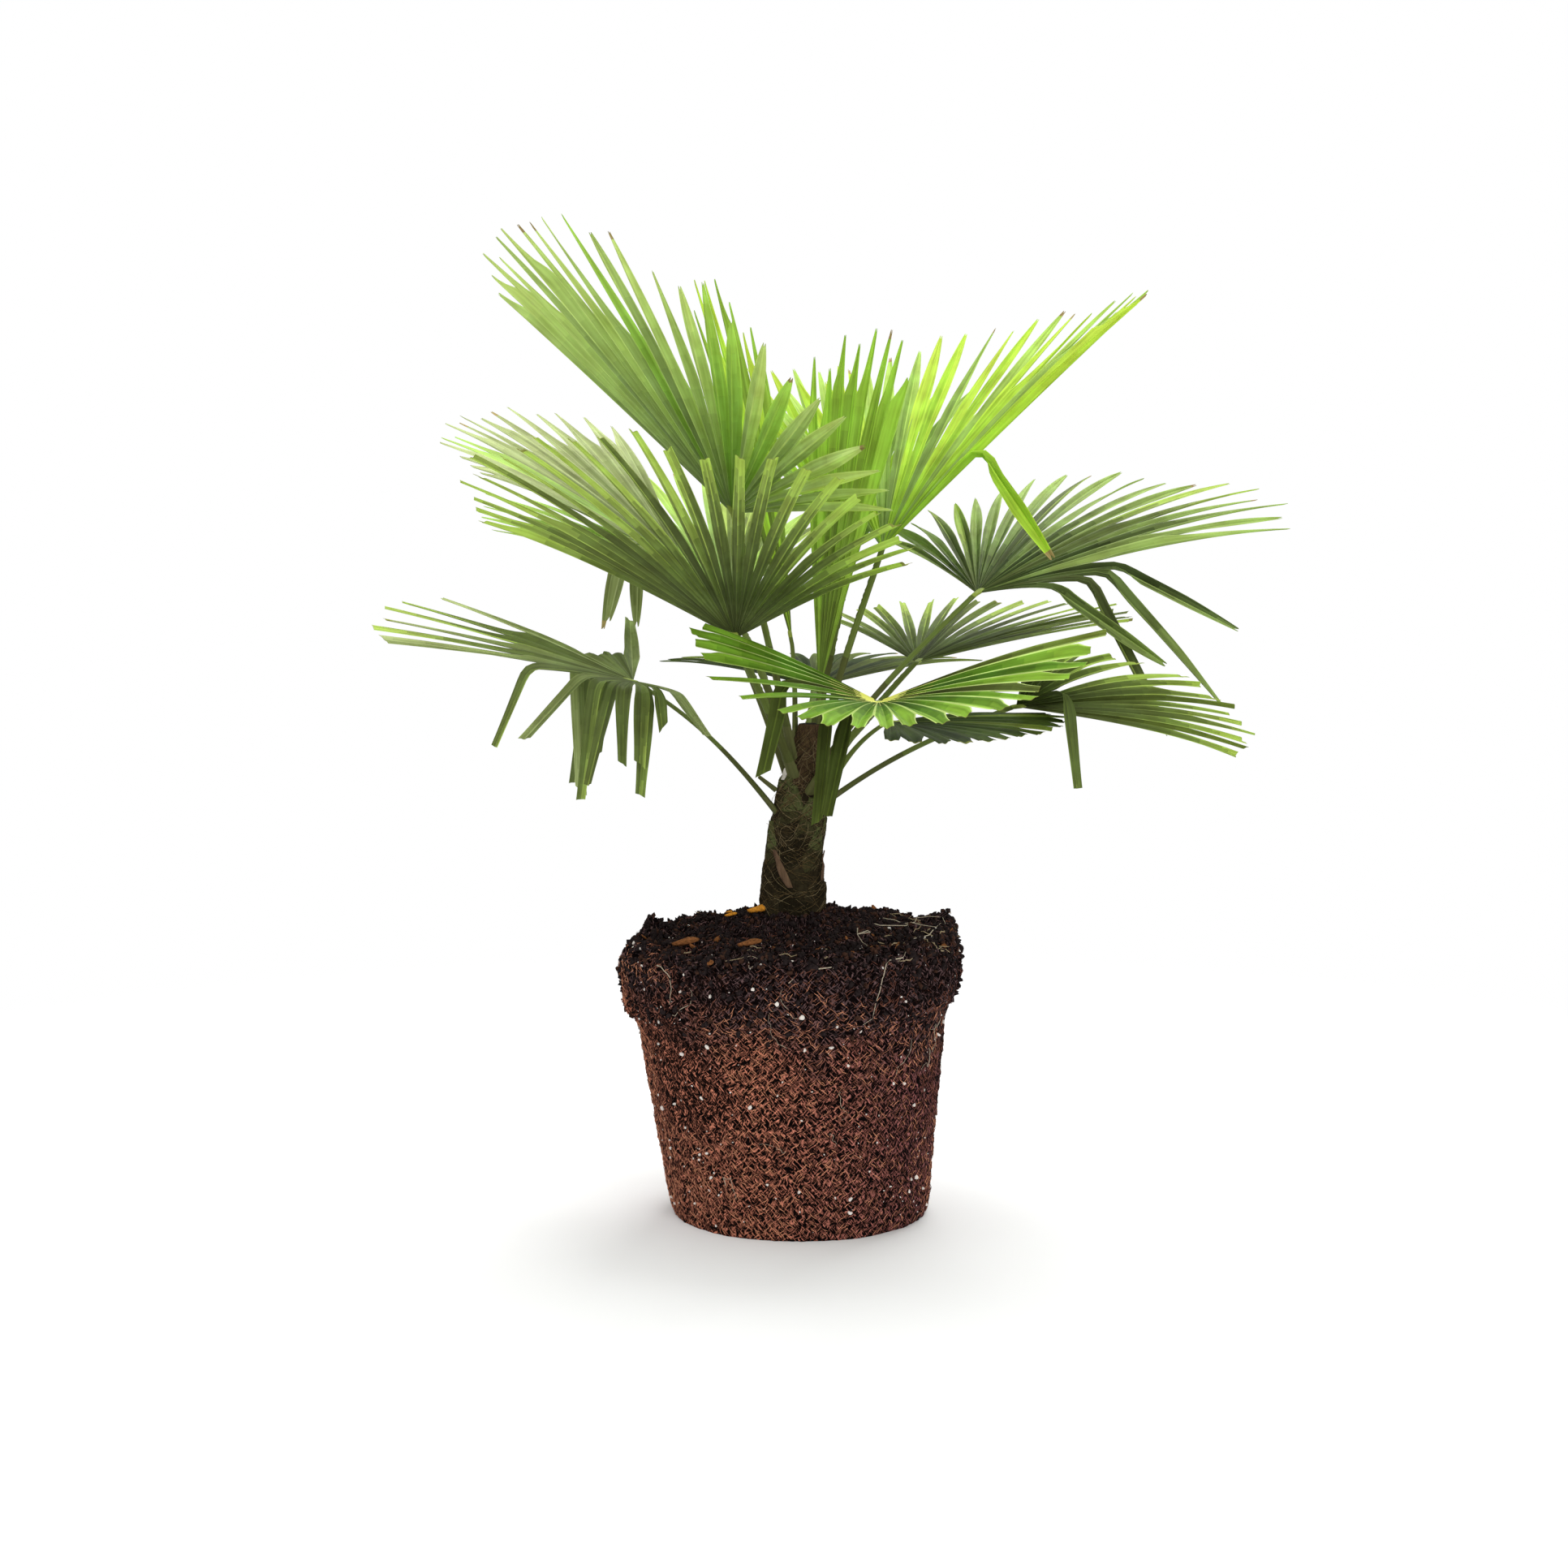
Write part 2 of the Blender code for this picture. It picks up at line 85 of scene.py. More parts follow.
# %% Hang the lamps
LAMPS = (
    ("back_light", (0.5, 1.3, 2.1), 1.5, 46.0),
    ("top_light", (-0.6, -0.5, 2.3), 1.4, 18.0),
    ("front_light", (1.0, -2.6, 1.0), 1.8, 26.0),
)
PALM_MIDDLE = Vector((0.0, 0.0, 0.42))

for name, place, size, power in LAMPS:
    lamp = bpy.data.objects.new(name, bpy.data.lights.new(name, "AREA"))
    lamp.data.size = size
    lamp.data.energy = power
    lamp.location = place
    lamp.rotation_euler = (PALM_MIDDLE - Vector(place)).to_track_quat("-Z", "Y").to_euler()
    bpy.context.scene.collection.objects.link(lamp)
print("lamps:", len(LAMPS))


# %% Short ways to add and join shader nodes
def feed(tree, node, inputs):
    """Give each input of a node its value, or join it to the output that feeds it."""
    for slot, value in inputs.items():
        if isinstance(value, bpy.types.NodeSocket):
            tree.links.new(value, node.inputs[slot])
        else:
            node.inputs[slot].default_value = value


def add_node(tree, kind, inputs=None, **options):
    """Add a node, set its own options by name, and feed it."""
    node = tree.nodes.new(kind)
    for name, value in options.items():
        setattr(node, name, value)
    feed(tree, node, inputs or {})
    return node


def map_range(tree, value, low, high, to_low=0.0, to_high=1.0, **options):
    """Carry a value from one range to another."""
    inputs = {"Value": value, "From Min": low, "From Max": high, "To Min": to_low, "To Max": to_high}
    return add_node(tree, "ShaderNodeMapRange", inputs, **options).outputs["Result"]


def add_math(tree, operation, *values):
    """Reckon with values and outputs."""
    return add_node(tree, "ShaderNodeMath", dict(enumerate(values)), operation=operation).outputs["Value"]


print("shader helpers:", [helper.__name__ for helper in (feed, add_node, map_range, add_math)])

# %% Light the world
WORLD_SEEN = 1.0
WORLD_LIGHT = 0.72
WHITE = (1.0, 1.0, 1.0, 1.0)

world = bpy.data.worlds.new("studio")
world.use_nodes = True
bpy.context.scene.world = world
world_tree = world.node_tree
seen = add_node(world_tree, "ShaderNodeLightPath").outputs["Is Camera Ray"]
strength = map_range(world_tree, seen, 0.0, 1.0, WORLD_LIGHT, WORLD_SEEN)
feed(world_tree, world_tree.nodes["Background"], {"Color": WHITE, "Strength": strength})
bpy.context.scene.view_settings.view_transform = "Standard"
print("the world lights the palm by", WORLD_LIGHT)

# %% Lay the floor
FLOOR_RADIUS = 1.5
FLOOR_SIDES = 96
FLOOR_FADE = (0.30, 1.30)
FLOOR_COLOUR = (0.93, 0.93, 0.93, 1.0)
FLOOR_ROUGHNESS = 0.9

bpy.ops.mesh.primitive_circle_add(vertices=FLOOR_SIDES, radius=FLOOR_RADIUS, fill_type="NGON")
floor = bpy.context.object
floor.name = "floor"
floor_look = bpy.data.materials.new("floor")
floor_look.use_nodes = True
floor_tree = floor_look.node_tree
floor_place = add_node(floor_tree, "ShaderNodeTexCoord").outputs["Object"]
floor_far = add_node(floor_tree, "ShaderNodeVectorMath", {0: floor_place}, operation="LENGTH")
floor_fade = map_range(
    floor_tree, floor_far.outputs["Value"], *FLOOR_FADE, 1.0, 0.0, interpolation_type="SMOOTHSTEP"
)
feed(floor_tree, floor_tree.nodes["Principled BSDF"], {
    "Base Color": FLOOR_COLOUR, "Roughness": FLOOR_ROUGHNESS, "Alpha": floor_fade,
})
floor.data.materials.append(floor_look)
print("floor radius:", FLOOR_RADIUS)

# %% [markdown]
# ## Making meshes
# A leaflet, a crumb of soil and a thread of fibre all come in hundreds. Modelling each by hand, or placing
# instances, would leave thousands of loose objects. Here each kind is worked out as rows of numbers and
# poured into one joined mesh, which renders fast and can be carried to any other program.

# %% Pour rows of points and faces into one piece
SMOOTH_ANGLE = math.radians(35.0)


def piece(name, points, faces, looks, kinds=None, maps=None, smooth=True, caps=()):
    """Make a mesh piece. kinds gives each face its look, and maps gives each face corner its place."""
    points = np.asarray(points, np.float32)
    faces = np.asarray(faces, np.int32)
    count, sides = faces.shape
    corners = np.concatenate([faces.ravel(), *[np.asarray(cap, np.int32) for cap in caps]])
    lengths = np.array([sides] * count + [len(cap) for cap in caps])
    starts = np.concatenate([[0], np.cumsum(lengths)[:-1]])
    mesh = bpy.data.meshes.new(name)
    mesh.vertices.add(len(points))
    mesh.vertices.foreach_set("co", points.ravel())
    mesh.loops.add(len(corners))
    mesh.loops.foreach_set("vertex_index", corners)
    mesh.polygons.add(len(lengths))
    mesh.polygons.foreach_set("loop_start", starts.astype(np.int32))
    for look in looks:
        mesh.materials.append(look)
    if kinds is not None:
        mesh.polygons.foreach_set("material_index", np.asarray(kinds, np.int32))
    for title, places in (maps or {}).items():
        layer = mesh.uv_layers.new(name=title)
        layer.uv.foreach_set("vector", np.asarray(places, np.float32).ravel())
    mesh.update(calc_edges=True)
    mesh.validate()
    if smooth:
        mesh.shade_smooth()
        mesh.set_sharp_from_angle(angle=SMOOTH_ANGLE)
    made = bpy.data.objects.new(name, mesh)
    bpy.context.scene.collection.objects.link(made)
    return made


print("faces stay smooth up to", round(math.degrees(SMOOTH_ANGLE)), "degrees")


# %% The faces of a grid, of its ends and of copies, and a flat map
def grid_faces(rows, columns, closed):
    """Give the four-sided faces of a grid of points, closed round its columns if asked."""
    across = np.arange(columns if closed else columns - 1)
    row, column = np.meshgrid(np.arange(rows - 1), across, indexing="ij")
    other = (column + 1) % columns
    corners = (row * columns + column, row * columns + other)
    corners += ((row + 1) * columns + other, (row + 1) * columns + column)
    return np.stack([corner.ravel() for corner in corners], axis=1)


def ring_caps(rows, columns):
    """Close a grid of rings at its first and its last ring."""
    last = (rows - 1) * columns
    return [list(range(columns))[::-1], list(range(last, last + columns))]


def copied_faces(faces, copies, size):
    """Repeat the faces of a shape for its copies, which have size points each."""
    shifts = np.arange(copies) * size
    return (faces[None] + shifts[:, None, None]).reshape(-1, faces.shape[1])


def wrap_map(rows, columns, faces, caps, wide, tall):
    """Lay a grid that closes round its columns flat, a turn from 0 to wide, its rows from 0 to tall."""
    row, column = faces // columns, (faces % columns).astype(float)
    column[:, 1:3] += np.where(column[:, 1:3] < column[:, :1], columns, 0)
    places = np.stack([column / columns * wide, row / (rows - 1) * tall], axis=-1).reshape(-1, 2)
    rest = [(wide * corner / len(cap), 0.0) for cap in caps for corner in range(len(cap))]
    return np.concatenate([places, np.array(rest).reshape(-1, 2)])


print("faces of a grid of 3 by 4 points:", len(grid_faces(3, 4, False)))

# %% Smooth noise for relief
SEED_SHIFT = 31.7
SEED_HASH = 9176
HASH = (73856093, 19349663, 83492791)
HASH_MIX = 1274126177
HASH_BITS = 65535


def smooth_share(low, high, value):
    """Rise smoothly from 0 to 1 between two values."""
    part = np.clip((value - low) / (high - low), 0.0, 1.0)
    return part * part * (3.0 - 2.0 * part)


def soft_noise(points, size, seed):
    """Give smooth noise from -1 to 1 that changes over about one size."""
    cell = np.asarray(points, np.float64) / size + SEED_SHIFT * seed
    base = np.floor(cell).astype(np.int64)
    part = smooth_share(0.0, 1.0, cell - base)
    total = np.zeros(len(cell))
    for corner in np.ndindex(2, 2, 2):
        x, y, z = ((base + np.array(corner)) * HASH).T
        key = x ^ y ^ z ^ (seed * SEED_HASH)
        key = (key ^ (key >> 13)) * HASH_MIX
        value = 2.0 * ((key ^ (key >> 16)) & HASH_BITS) / HASH_BITS - 1.0
        share = np.where(np.array(corner) == 1, part, 1.0 - part)
        total += value * share.prod(axis=1)
    return total


print("noise reaches", soft_noise(np.random.default_rng(1).random((2000, 3)), 0.05, 1).max().round(2))


# %% Directions, and places along a line
def unit(vectors):
    """Scale vectors to a length of one."""
    return vectors / np.maximum(np.linalg.norm(vectors, axis=-1, keepdims=True), 1e-9)


def square_to(ahead, side):
    """Turn sideways directions square to the way ahead, and give them and the way up."""
    side = unit(side - ahead * (side * ahead).sum(axis=1, keepdims=True))
    return side, np.cross(ahead, side)


def far_along(points):
    """Give the distance from the first point at each point of a line."""
    return np.concatenate([[0.0], np.cumsum(np.linalg.norm(np.diff(points, axis=0), axis=1))])


def at_marks(marks, knots, points):
    """Give the points at marks of a line that has its own points at knots."""
    return np.stack([np.interp(marks, knots, column) for column in np.transpose(points)], axis=-1)


print("half way along a bent line:", at_marks(0.5, (0.0, 0.4, 1.0), ((0, 0), (1, 0), (1, 3))))

# %% [markdown]
# ## Finishes
# Nothing on a plant has one flat colour. Leaves have fine veins that run from the hub to the tip, with
# lighter and darker streaks between them; soil and bark are mottled. Pictures could carry such detail, but
# they blur close up. Noise that is worked out by the shader stays sharp, and a node group holds each effect
# once, so that every material can place it with its own colour.

# %% Colours as a painter names them, and the start of a group
GAMMA = 2.4
NOISE_MIDDLE = (0.32, 0.68)


def tone(red, green, blue):
    """Turn a screen colour, 0 to 255, into the light that it stands for."""
    shares = [(value / 255.0 + 0.055) / 1.055 for value in (red, green, blue)]
    return (*[max(share, 0.0) ** GAMMA for share in shares], 1.0)


def add_noise(tree, place, scale, detail):
    """Add a noise with a scale in each direction."""
    stretch = add_node(tree, "ShaderNodeVectorMath", {0: place, 1: scale}, operation="MULTIPLY")
    inputs = {"Vector": stretch.outputs["Vector"], "Scale": 1.0, "Detail": detail}
    return add_node(tree, "ShaderNodeTexNoise", inputs).outputs["Fac"]


def new_group(name, colours, numbers=()):
    """Start a shader group that takes colours and numbers, and gives a colour and a height."""
    group = bpy.data.node_groups.new(name, "ShaderNodeTree")
    sockets = [(title, "INPUT", "NodeSocketColor") for title in colours]
    sockets += [(title, "INPUT", "NodeSocketFloat") for title in numbers]
    sockets += [("Colour", "OUTPUT", "NodeSocketColor"), ("Height", "OUTPUT", "NodeSocketFloat")]
    for title, way, kind in sockets:
        group.interface.new_socket(title, in_out=way, socket_type=kind)
    return group, add_node(group, "NodeGroupInput").outputs, add_node(group, "NodeGroupOutput")


def varied(group, given, noise, hue=0.5):
    """Make a group's colour darker and lighter by a noise, and turn its hue if asked."""
    value = map_range(group, noise, *NOISE_MIDDLE, given["Darkest"], given["Lightest"])
    inputs = {"Color": given["Colour"], "Value": value, "Hue": hue}
    return add_node(group, "ShaderNodeHueSaturation", inputs).outputs["Color"]


print("middle grey holds", round(tone(128, 128, 128)[0], 3), "of the light of white")

# %% The groups that streak what grows in lines, and the group that mottles what is crumbly
STREAK_SHARE = 0.6
PATCH_SCALE = (38.0, 38.0, 38.0)
HUE_NOISE = (0.3, 0.7)
HUE_TURN = (0.492, 0.508)
GRAIN_SCALE = (620.0, 620.0, 620.0)


def lines_group(name, map_name, streak_width, streak_length, vein_width):
    """Make a group of long streaks and fine veins that follow a piece's own map, in metres."""
    group, given, result = new_group(name, ("Colour",), ("Darkest", "Lightest"))
    way = add_node(group, "ShaderNodeUVMap", uv_map=map_name).outputs["UV"]
    place = add_node(group, "ShaderNodeTexCoord").outputs["Object"]
    streaks = add_noise(group, way, (1.0 / streak_width, 1.0 / streak_length, 1.0), 2.0)
    veins = add_noise(group, way, (1.0 / vein_width, 4.0 / streak_length, 1.0), 0.0)
    patches = add_noise(group, place, PATCH_SCALE, 2.0)
    part = add_math(group, "MULTIPLY", patches, 1.0 - STREAK_SHARE)
    both = add_math(group, "MULTIPLY_ADD", streaks, STREAK_SHARE, part)
    hue = map_range(group, patches, *HUE_NOISE, *HUE_TURN)
    feed(group, result, {"Colour": varied(group, given, both, hue), "Height": veins})
    return group


leaf_lines = lines_group("leaf_lines", "leaf_way", 0.0020, 0.080, 0.00042)
bark_lines = lines_group("bark_lines", "bark_way", 0.0011, 0.016, 0.00045)
mottle, given, result = new_group("mottle", ("Colour",), ("Darkest", "Lightest"))
grains = add_noise(mottle, add_node(mottle, "ShaderNodeTexCoord").outputs["Object"], GRAIN_SCALE, 3.0)
feed(mottle, result, {"Colour": varied(mottle, given, grains), "Height": grains})
print("groups:", [group.name for group in bpy.data.node_groups])

# %% Materials that use the groups
SHINE = 0.03
LEAF_VARIES = (0.56, 1.42)
LEAF_BUMP = (0.15, 0.0002)
LEAF_ROUGHNESS = 0.50


def grown(name, group, colour, darkest, lightest, roughness, bump, bump_depth):
    """Make a rough material whose colour and relief come from a group."""
    look = bpy.data.materials.new(name)
    look.use_nodes = True
    tree = look.node_tree
    inputs = {"Colour": colour, "Darkest": darkest, "Lightest": lightest}
    pattern = add_node(tree, "ShaderNodeGroup", inputs, node_tree=group).outputs
    inputs = {"Strength": bump, "Distance": bump_depth, "Height": pattern["Height"]}
    relief = add_node(tree, "ShaderNodeBump", inputs).outputs["Normal"]
    feed(tree, tree.nodes["Principled BSDF"], {
        "Base Color": pattern["Colour"], "Normal": relief,
        "Roughness": roughness, "Specular IOR Level": SHINE,
    })
    return look


def leafy(name, colour, glow, share, roughness=LEAF_ROUGHNESS):
    """Make a leaf material that lets some light through."""
    look = grown(name, leaf_lines, colour, *LEAF_VARIES, roughness, *LEAF_BUMP)
    tree = look.node_tree
    through = add_node(tree, "ShaderNodeBsdfTranslucent", {"Color": glow}).outputs["BSDF"]
    inputs = {"Fac": share, 1: tree.nodes["Principled BSDF"].outputs["BSDF"], 2: through}
    blend = add_node(tree, "ShaderNodeMixShader", inputs).outputs["Shader"]
    feed(tree, tree.nodes["Material Output"], {"Surface": blend})
    return look


print("streaks make a leaf's colour", *LEAF_VARIES, "times as light")

# %% [markdown]
# The fans aren't all one green. Young ones are bright, old ones olive, and some are greyed or bleached at
# the edges. Each leaf family gets a short row of plain colours, from its hub to its tips, and the faces of
# a leaflet are dealt out along that row. The rows darken towards the hub: partly the leaves' own colour and
# partly painted shade, where the fans shade each other's hubs. The shaded row is painted shade throughout,
# and the pale and light rows are partly painted sheen. Painting the colours with a placed pattern would be
# finer, but such a pattern slides when the joined leaflets are carried to another program, and plain
# colours stay put.

# %% Leaf colours from hub to tip, darker at the hub partly as painted shade
LEAF_ROWS = {
    "fresh": ((136, 162, 84), (162, 190, 98), (188, 212, 112)),
    # light is partly the upper left fan's own grey-green and partly painted sheen, the silvery gleam off its
    # upper side
    "light": ((144, 159, 116), (178, 193, 134), (204, 217, 154)),
    "lime": ((158, 192, 66), (188, 220, 78), (198, 220, 86)),
    "olive": ((94, 104, 62), (108, 121, 68), (124, 140, 74), (186, 204, 106)),
    "deep": ((76, 108, 40), (94, 134, 38), (146, 182, 64)),
    "dull": ((72, 82, 38), (88, 100, 46), (122, 138, 60)),
    "grey": ((72, 86, 46), (150, 168, 98), (172, 192, 112)),
    # pale is partly the leaves' own paler green and partly painted sheen, a whitish gleam
    "pale": ((116, 129, 78), (144, 155, 98), (186, 194, 142)),
    "young": ((103, 121, 52), (140, 168, 66), (168, 200, 80)),
    # shaded is painted shade: dark colours for the low fans that sit in the shade of the fans above
    "shaded": ((42, 54, 20), (56, 72, 28), (84, 100, 46)),
}
ROW_STEPS = 8
GLOW_GAIN = (1.30, 1.46, 0.45)
GLOW_MOST = 0.95
GLOW_SHARE = 0.34
PART_LOOKS = (
    ("leaf_edge", (192, 214, 122), (206, 224, 122), 0.28, LEAF_ROUGHNESS),
    ("leaf_hub", (246, 247, 140), (240, 240, 110), 0.22, LEAF_ROUGHNESS),
    ("leaf_cut", (146, 150, 76), (150, 150, 64), 0.15, 0.65),
    ("leaf_brown", (168, 150, 96), (150, 124, 70), 0.10, 0.75),
)


def glow_of(colour):
    """Give the yellower colour that light takes on its way through a leaf."""
    return (*[min(GLOW_MOST, value * gain) for value, gain in zip(colour, GLOW_GAIN)], 1.0)


leaf_looks = {}
for family, row in LEAF_ROWS.items():
    steps = np.linspace(0.0, len(row) - 1.0, ROW_STEPS)
    colours = [tone(*shade) for shade in at_marks(steps, range(len(row)), row)]
    leaf_looks[family] = [
        leafy(f"leaf_{family}_{number}", colour, glow_of(colour), GLOW_SHARE)
        for number, colour in enumerate(colours)
    ]
part_looks = [
    leafy(name, tone(*colour), tone(*glow), share, roughness)
    for name, colour, glow, share, roughness in PART_LOOKS
]
cut_look = part_looks[2]
print("leaf materials:", sum(len(row) for row in leaf_looks.values()) + len(part_looks))

# %% [markdown]
# ## The root ball
# Potting mix, bound by roots, keeps the shape of the pot: a smooth taper, a band where the pot's rim was,
# and a loose crown of black soil. A turned profile gives that form. Its surface is then pushed in and out
# by noise of several sizes, most at the rim where crumbs have broken off. Real crumbs, peat fibres,
# white grains and roots lie on it as pieces of their own, since relief alone never gives a ragged edge.

# %% Turn the ball
BALL_PROFILE = (
    (0.0000, 0.2515), (0.0300, 0.2505), (0.0520, 0.2470), (0.0840, 0.2415), (0.1120, 0.2370),
    (0.1290, 0.2315), (0.1380, 0.2225), (0.1405, 0.2080), (0.1395, 0.1900), (0.1370, 0.1770),
    (0.1300, 0.1690), (0.1262, 0.1560), (0.1235, 0.1320), (0.1200, 0.1040), (0.1165, 0.0760),
    (0.1130, 0.0480), (0.1095, 0.0200), (0.1060, 0.0020), (0.1020, -0.0120), (0.0000, -0.0120),
)
PROFILE_MARGIN = 0.004
BALL_TILT = math.radians(2.4)
BALL_SIDES = 336
BALL_ROWS = 208


def spun(rows, around):
    """Carry rows of distance and height round the ball's axis."""
    flat = rows[:, None, :1] * around[None]
    tall = np.broadcast_to(rows[:, None, 1:], (*flat.shape[:2], 1))
    return np.concatenate([flat, tall], axis=2).reshape(-1, 3)


def ball_surface():
    """Give the ball's points and outward directions before any relief, and the profile's distances."""
    far = far_along(BALL_PROFILE)
    marks = np.linspace(PROFILE_MARGIN, far[-1] - PROFILE_MARGIN, BALL_ROWS)
    profile = at_marks(marks, far, BALL_PROFILE)
    slope = unit(np.gradient(profile, axis=0))
    outward = np.stack([-slope[:, 1], slope[:, 0]], axis=1)
    for _ in range(3):
        outward[1:-1] = unit(outward[:-2] + outward[1:-1] + outward[2:])
    angle = np.linspace(0.0, 2.0 * math.pi, BALL_SIDES, endpoint=False)
    around = np.stack([np.cos(angle), np.sin(angle)], axis=1)
    return spun(profile, around), spun(outward, around), marks


def tilted(vectors):
    """Lean vectors the way the ball leans in the photograph."""
    x = vectors[:, 0] * math.cos(BALL_TILT) - vectors[:, 2] * math.sin(BALL_TILT)
    z = vectors[:, 0] * math.sin(BALL_TILT) + vectors[:, 2] * math.cos(BALL_TILT)
    return np.stack([x, vectors[:, 1], z], axis=1)


ball_points, ball_ways, ball_marks = ball_surface()
print("ball points:", len(ball_points))

# %% Push the ball's surface in and out
LUMP_NOISE = (0.026, 3)
CRUMB_NOISE = (0.0085, 5)
GRAIN_NOISE = (0.0036, 7)
CROWN_FROM = (0.205, 0.228)
RIM_FROM = (0.168, 0.180)
CLEAR_OF_TRUNK = (0.036, 0.060)
SAG_ENDS = (0.112, 0.130)
SIDE_RELIEF = 0.0010
RIM_RELIEF = 0.0025
RIM_LEVEL = -0.3
CROWN_RELIEF = 0.0026
CROWN_SAG = 0.0062
BALL_SINK = 0.0012
HUMPS = (
    (-0.112, 0.020, 0.0175, 0.0085), (-0.072, 0.030, 0.0080, 0.0110), (-0.044, -0.012, 0.0040, 0.0090),
    (0.045, 0.030, 0.0060, 0.0110), (0.126, 0.022, 0.0085, 0.0085), (0.104, -0.020, 0.0040, 0.0090),
    (0.010, 0.104, 0.0060, 0.0110), (-0.070, 0.088, 0.0070, 0.0100), (0.078, 0.082, 0.0060, 0.0090),
    (-0.020, -0.100, 0.0030, 0.0120),
)


def ball_relief(points):
    """Work out how far each point of the ball stands out."""
    height = points[:, 2]
    far = np.hypot(points[:, 0], points[:, 1])
    crown = smooth_share(*CROWN_FROM, height)
    rim = smooth_share(*RIM_FROM, height) * (1.0 - 0.4 * crown)
    clear = smooth_share(*CLEAR_OF_TRUNK, far)
    lumps, crumbs, grains = (soft_noise(points, *noise) for noise in (LUMP_NOISE, CRUMB_NOISE, GRAIN_NOISE))
    relief = SIDE_RELIEF * (0.9 * lumps + 0.9 * crumbs + grains)
    relief += rim * RIM_RELIEF * (0.4 * lumps + 0.9 * np.abs(crumbs) + RIM_LEVEL + 0.5 * grains)
    relief += crown * CROWN_RELIEF * (clear * 0.9 * lumps + 0.8 * crumbs + 0.4 * grains)
    relief -= crown * CROWN_SAG * clear * (1.0 - smooth_share(*SAG_ENDS, far))
    for x, y, rise, spread in HUMPS:
        near = (points[:, 0] - x) ** 2 + (points[:, 1] - y) ** 2
        relief += crown * rise * np.exp(-0.5 * near / spread ** 2)
    return relief


ball_points = tilted(ball_points + ball_ways * (ball_relief(ball_points) - BALL_SINK)[:, None])
ball_ways = tilted(ball_ways)
ball_points[:, 2] = np.maximum(ball_points[:, 2], 0.0)
print("ball reaches", ball_points.max(axis=0).round(3))

# %% [markdown]
# Wet black soil lies on the crown and the rim, and the dried body below is a reddish brown. One material
# holds both: the height of each point, roughened by noise, says which of two soils shows there. Pressed
# peat looks woven, so two sets of streaks cross on the ball's own map, with near-black gaps between them:
# partly darker soil and partly painted shade in the crevices between the fibres.

# %% The node group that weaves
WEAVE_TURNS = (0.70, -0.74)
WEAVE_SCALE = (1.0 / 0.0012, 1.0 / 0.0064, 1.0)
WEAVE_EDGE = (0.555, 0.625)
WEAVE_BEND = 0.010
BEND_SCALE = (55.0, 55.0, 55.0)


def blend_of(tree, factor, first, second):
    """Mix two colours, each given as a colour or as an output."""
    inputs = {"Factor": factor, "A": first, "B": second}
    return add_node(tree, "ShaderNodeMix", inputs, data_type="RGBA").outputs["Result"]


def weave_group():
    """Make a group of two sets of streaks that cross, with gaps between them in a dark colour that is partly
    painted shade.
    """
    group, given, result = new_group("woven_soil", ("Colour", "Gap"))
    way = add_node(group, "ShaderNodeUVMap", uv_map="soil_way").outputs["UV"]
    place = add_node(group, "ShaderNodeTexCoord").outputs["Object"]
    bend = add_math(group, "MULTIPLY", add_noise(group, place, BEND_SCALE, 1.0), WEAVE_BEND)
    bent = add_node(group, "ShaderNodeVectorMath", {0: way, 1: bend}, operation="ADD").outputs["Vector"]
    sets = []
    for turn in WEAVE_TURNS:
        inputs = {"Vector": bent, "Angle": turn}
        slanted = add_node(group, "ShaderNodeVectorRotate", inputs, rotation_type="Z_AXIS")
        sets.append(add_noise(group, slanted.outputs["Vector"], WEAVE_SCALE, 1.0))
    thread = map_range(group, add_math(group, "MAXIMUM", *sets), *WEAVE_EDGE)
    colour = blend_of(group, thread, given["Gap"], given["Colour"])
    feed(group, result, {"Colour": colour, "Height": thread})
    return group


woven_soil = weave_group()
print("the weave turns by", WEAVE_TURNS)

# %% Give the ball its two soils
SOIL_DARK = tone(86, 66, 66)
SOIL_BROWN = tone(178, 112, 90)
SOIL_PURPLE = tone(132, 82, 80)
# SOIL_GAP is the near-black of the weave's gaps: partly dark soil and partly painted shade in the crevices
# between fibres
SOIL_GAP = tone(10, 4, 4)
SOIL_CHANGE = (0.130, 0.197)
SOIL_ROUGH = 0.16
SOIL_PATCHES = (21.0, 21.0, 21.0)
DARKER_RIGHT = 0.18
PURPLE_FROM = (-0.03, 0.09)


def soil_look():
    """Make the soil, brown below and black above, with the weave over both."""
    look = grown("soil", mottle, SOIL_BROWN, 0.45, 1.70, 0.95, 0.9, 0.0014)
    tree = look.node_tree
    place = add_node(tree, "ShaderNodeTexCoord").outputs["Object"]
    split = add_node(tree, "ShaderNodeSeparateXYZ", {"Vector": place}).outputs
    lean = add_math(tree, "MULTIPLY_ADD", split["X"], DARKER_RIGHT, split["Z"])
    rough = add_math(tree, "MULTIPLY_ADD", add_noise(tree, place, SOIL_PATCHES, 2.0), SOIL_ROUGH, lean)
    low, high = (height + 0.5 * SOIL_ROUGH for height in SOIL_CHANGE)
    change = map_range(tree, rough, low, high, interpolation_type="SMOOTHSTEP")
    purple = map_range(tree, split["X"], *PURPLE_FROM)
    body = blend_of(tree, purple, SOIL_BROWN, SOIL_PURPLE)
    pattern = next(node for node in tree.nodes if node.type == "GROUP")
    relief = next(node for node in tree.nodes if node.type == "BUMP")
    feed(tree, pattern, {"Colour": blend_of(tree, change, body, SOIL_DARK)})
    inputs = {"Colour": pattern.outputs["Colour"], "Gap": SOIL_GAP}
    woven = add_node(tree, "ShaderNodeGroup", inputs, node_tree=woven_soil).outputs
    feed(tree, relief, {"Height": woven["Height"]})
    feed(tree, tree.nodes["Principled BSDF"], {"Base Color": woven["Colour"]})
    return look


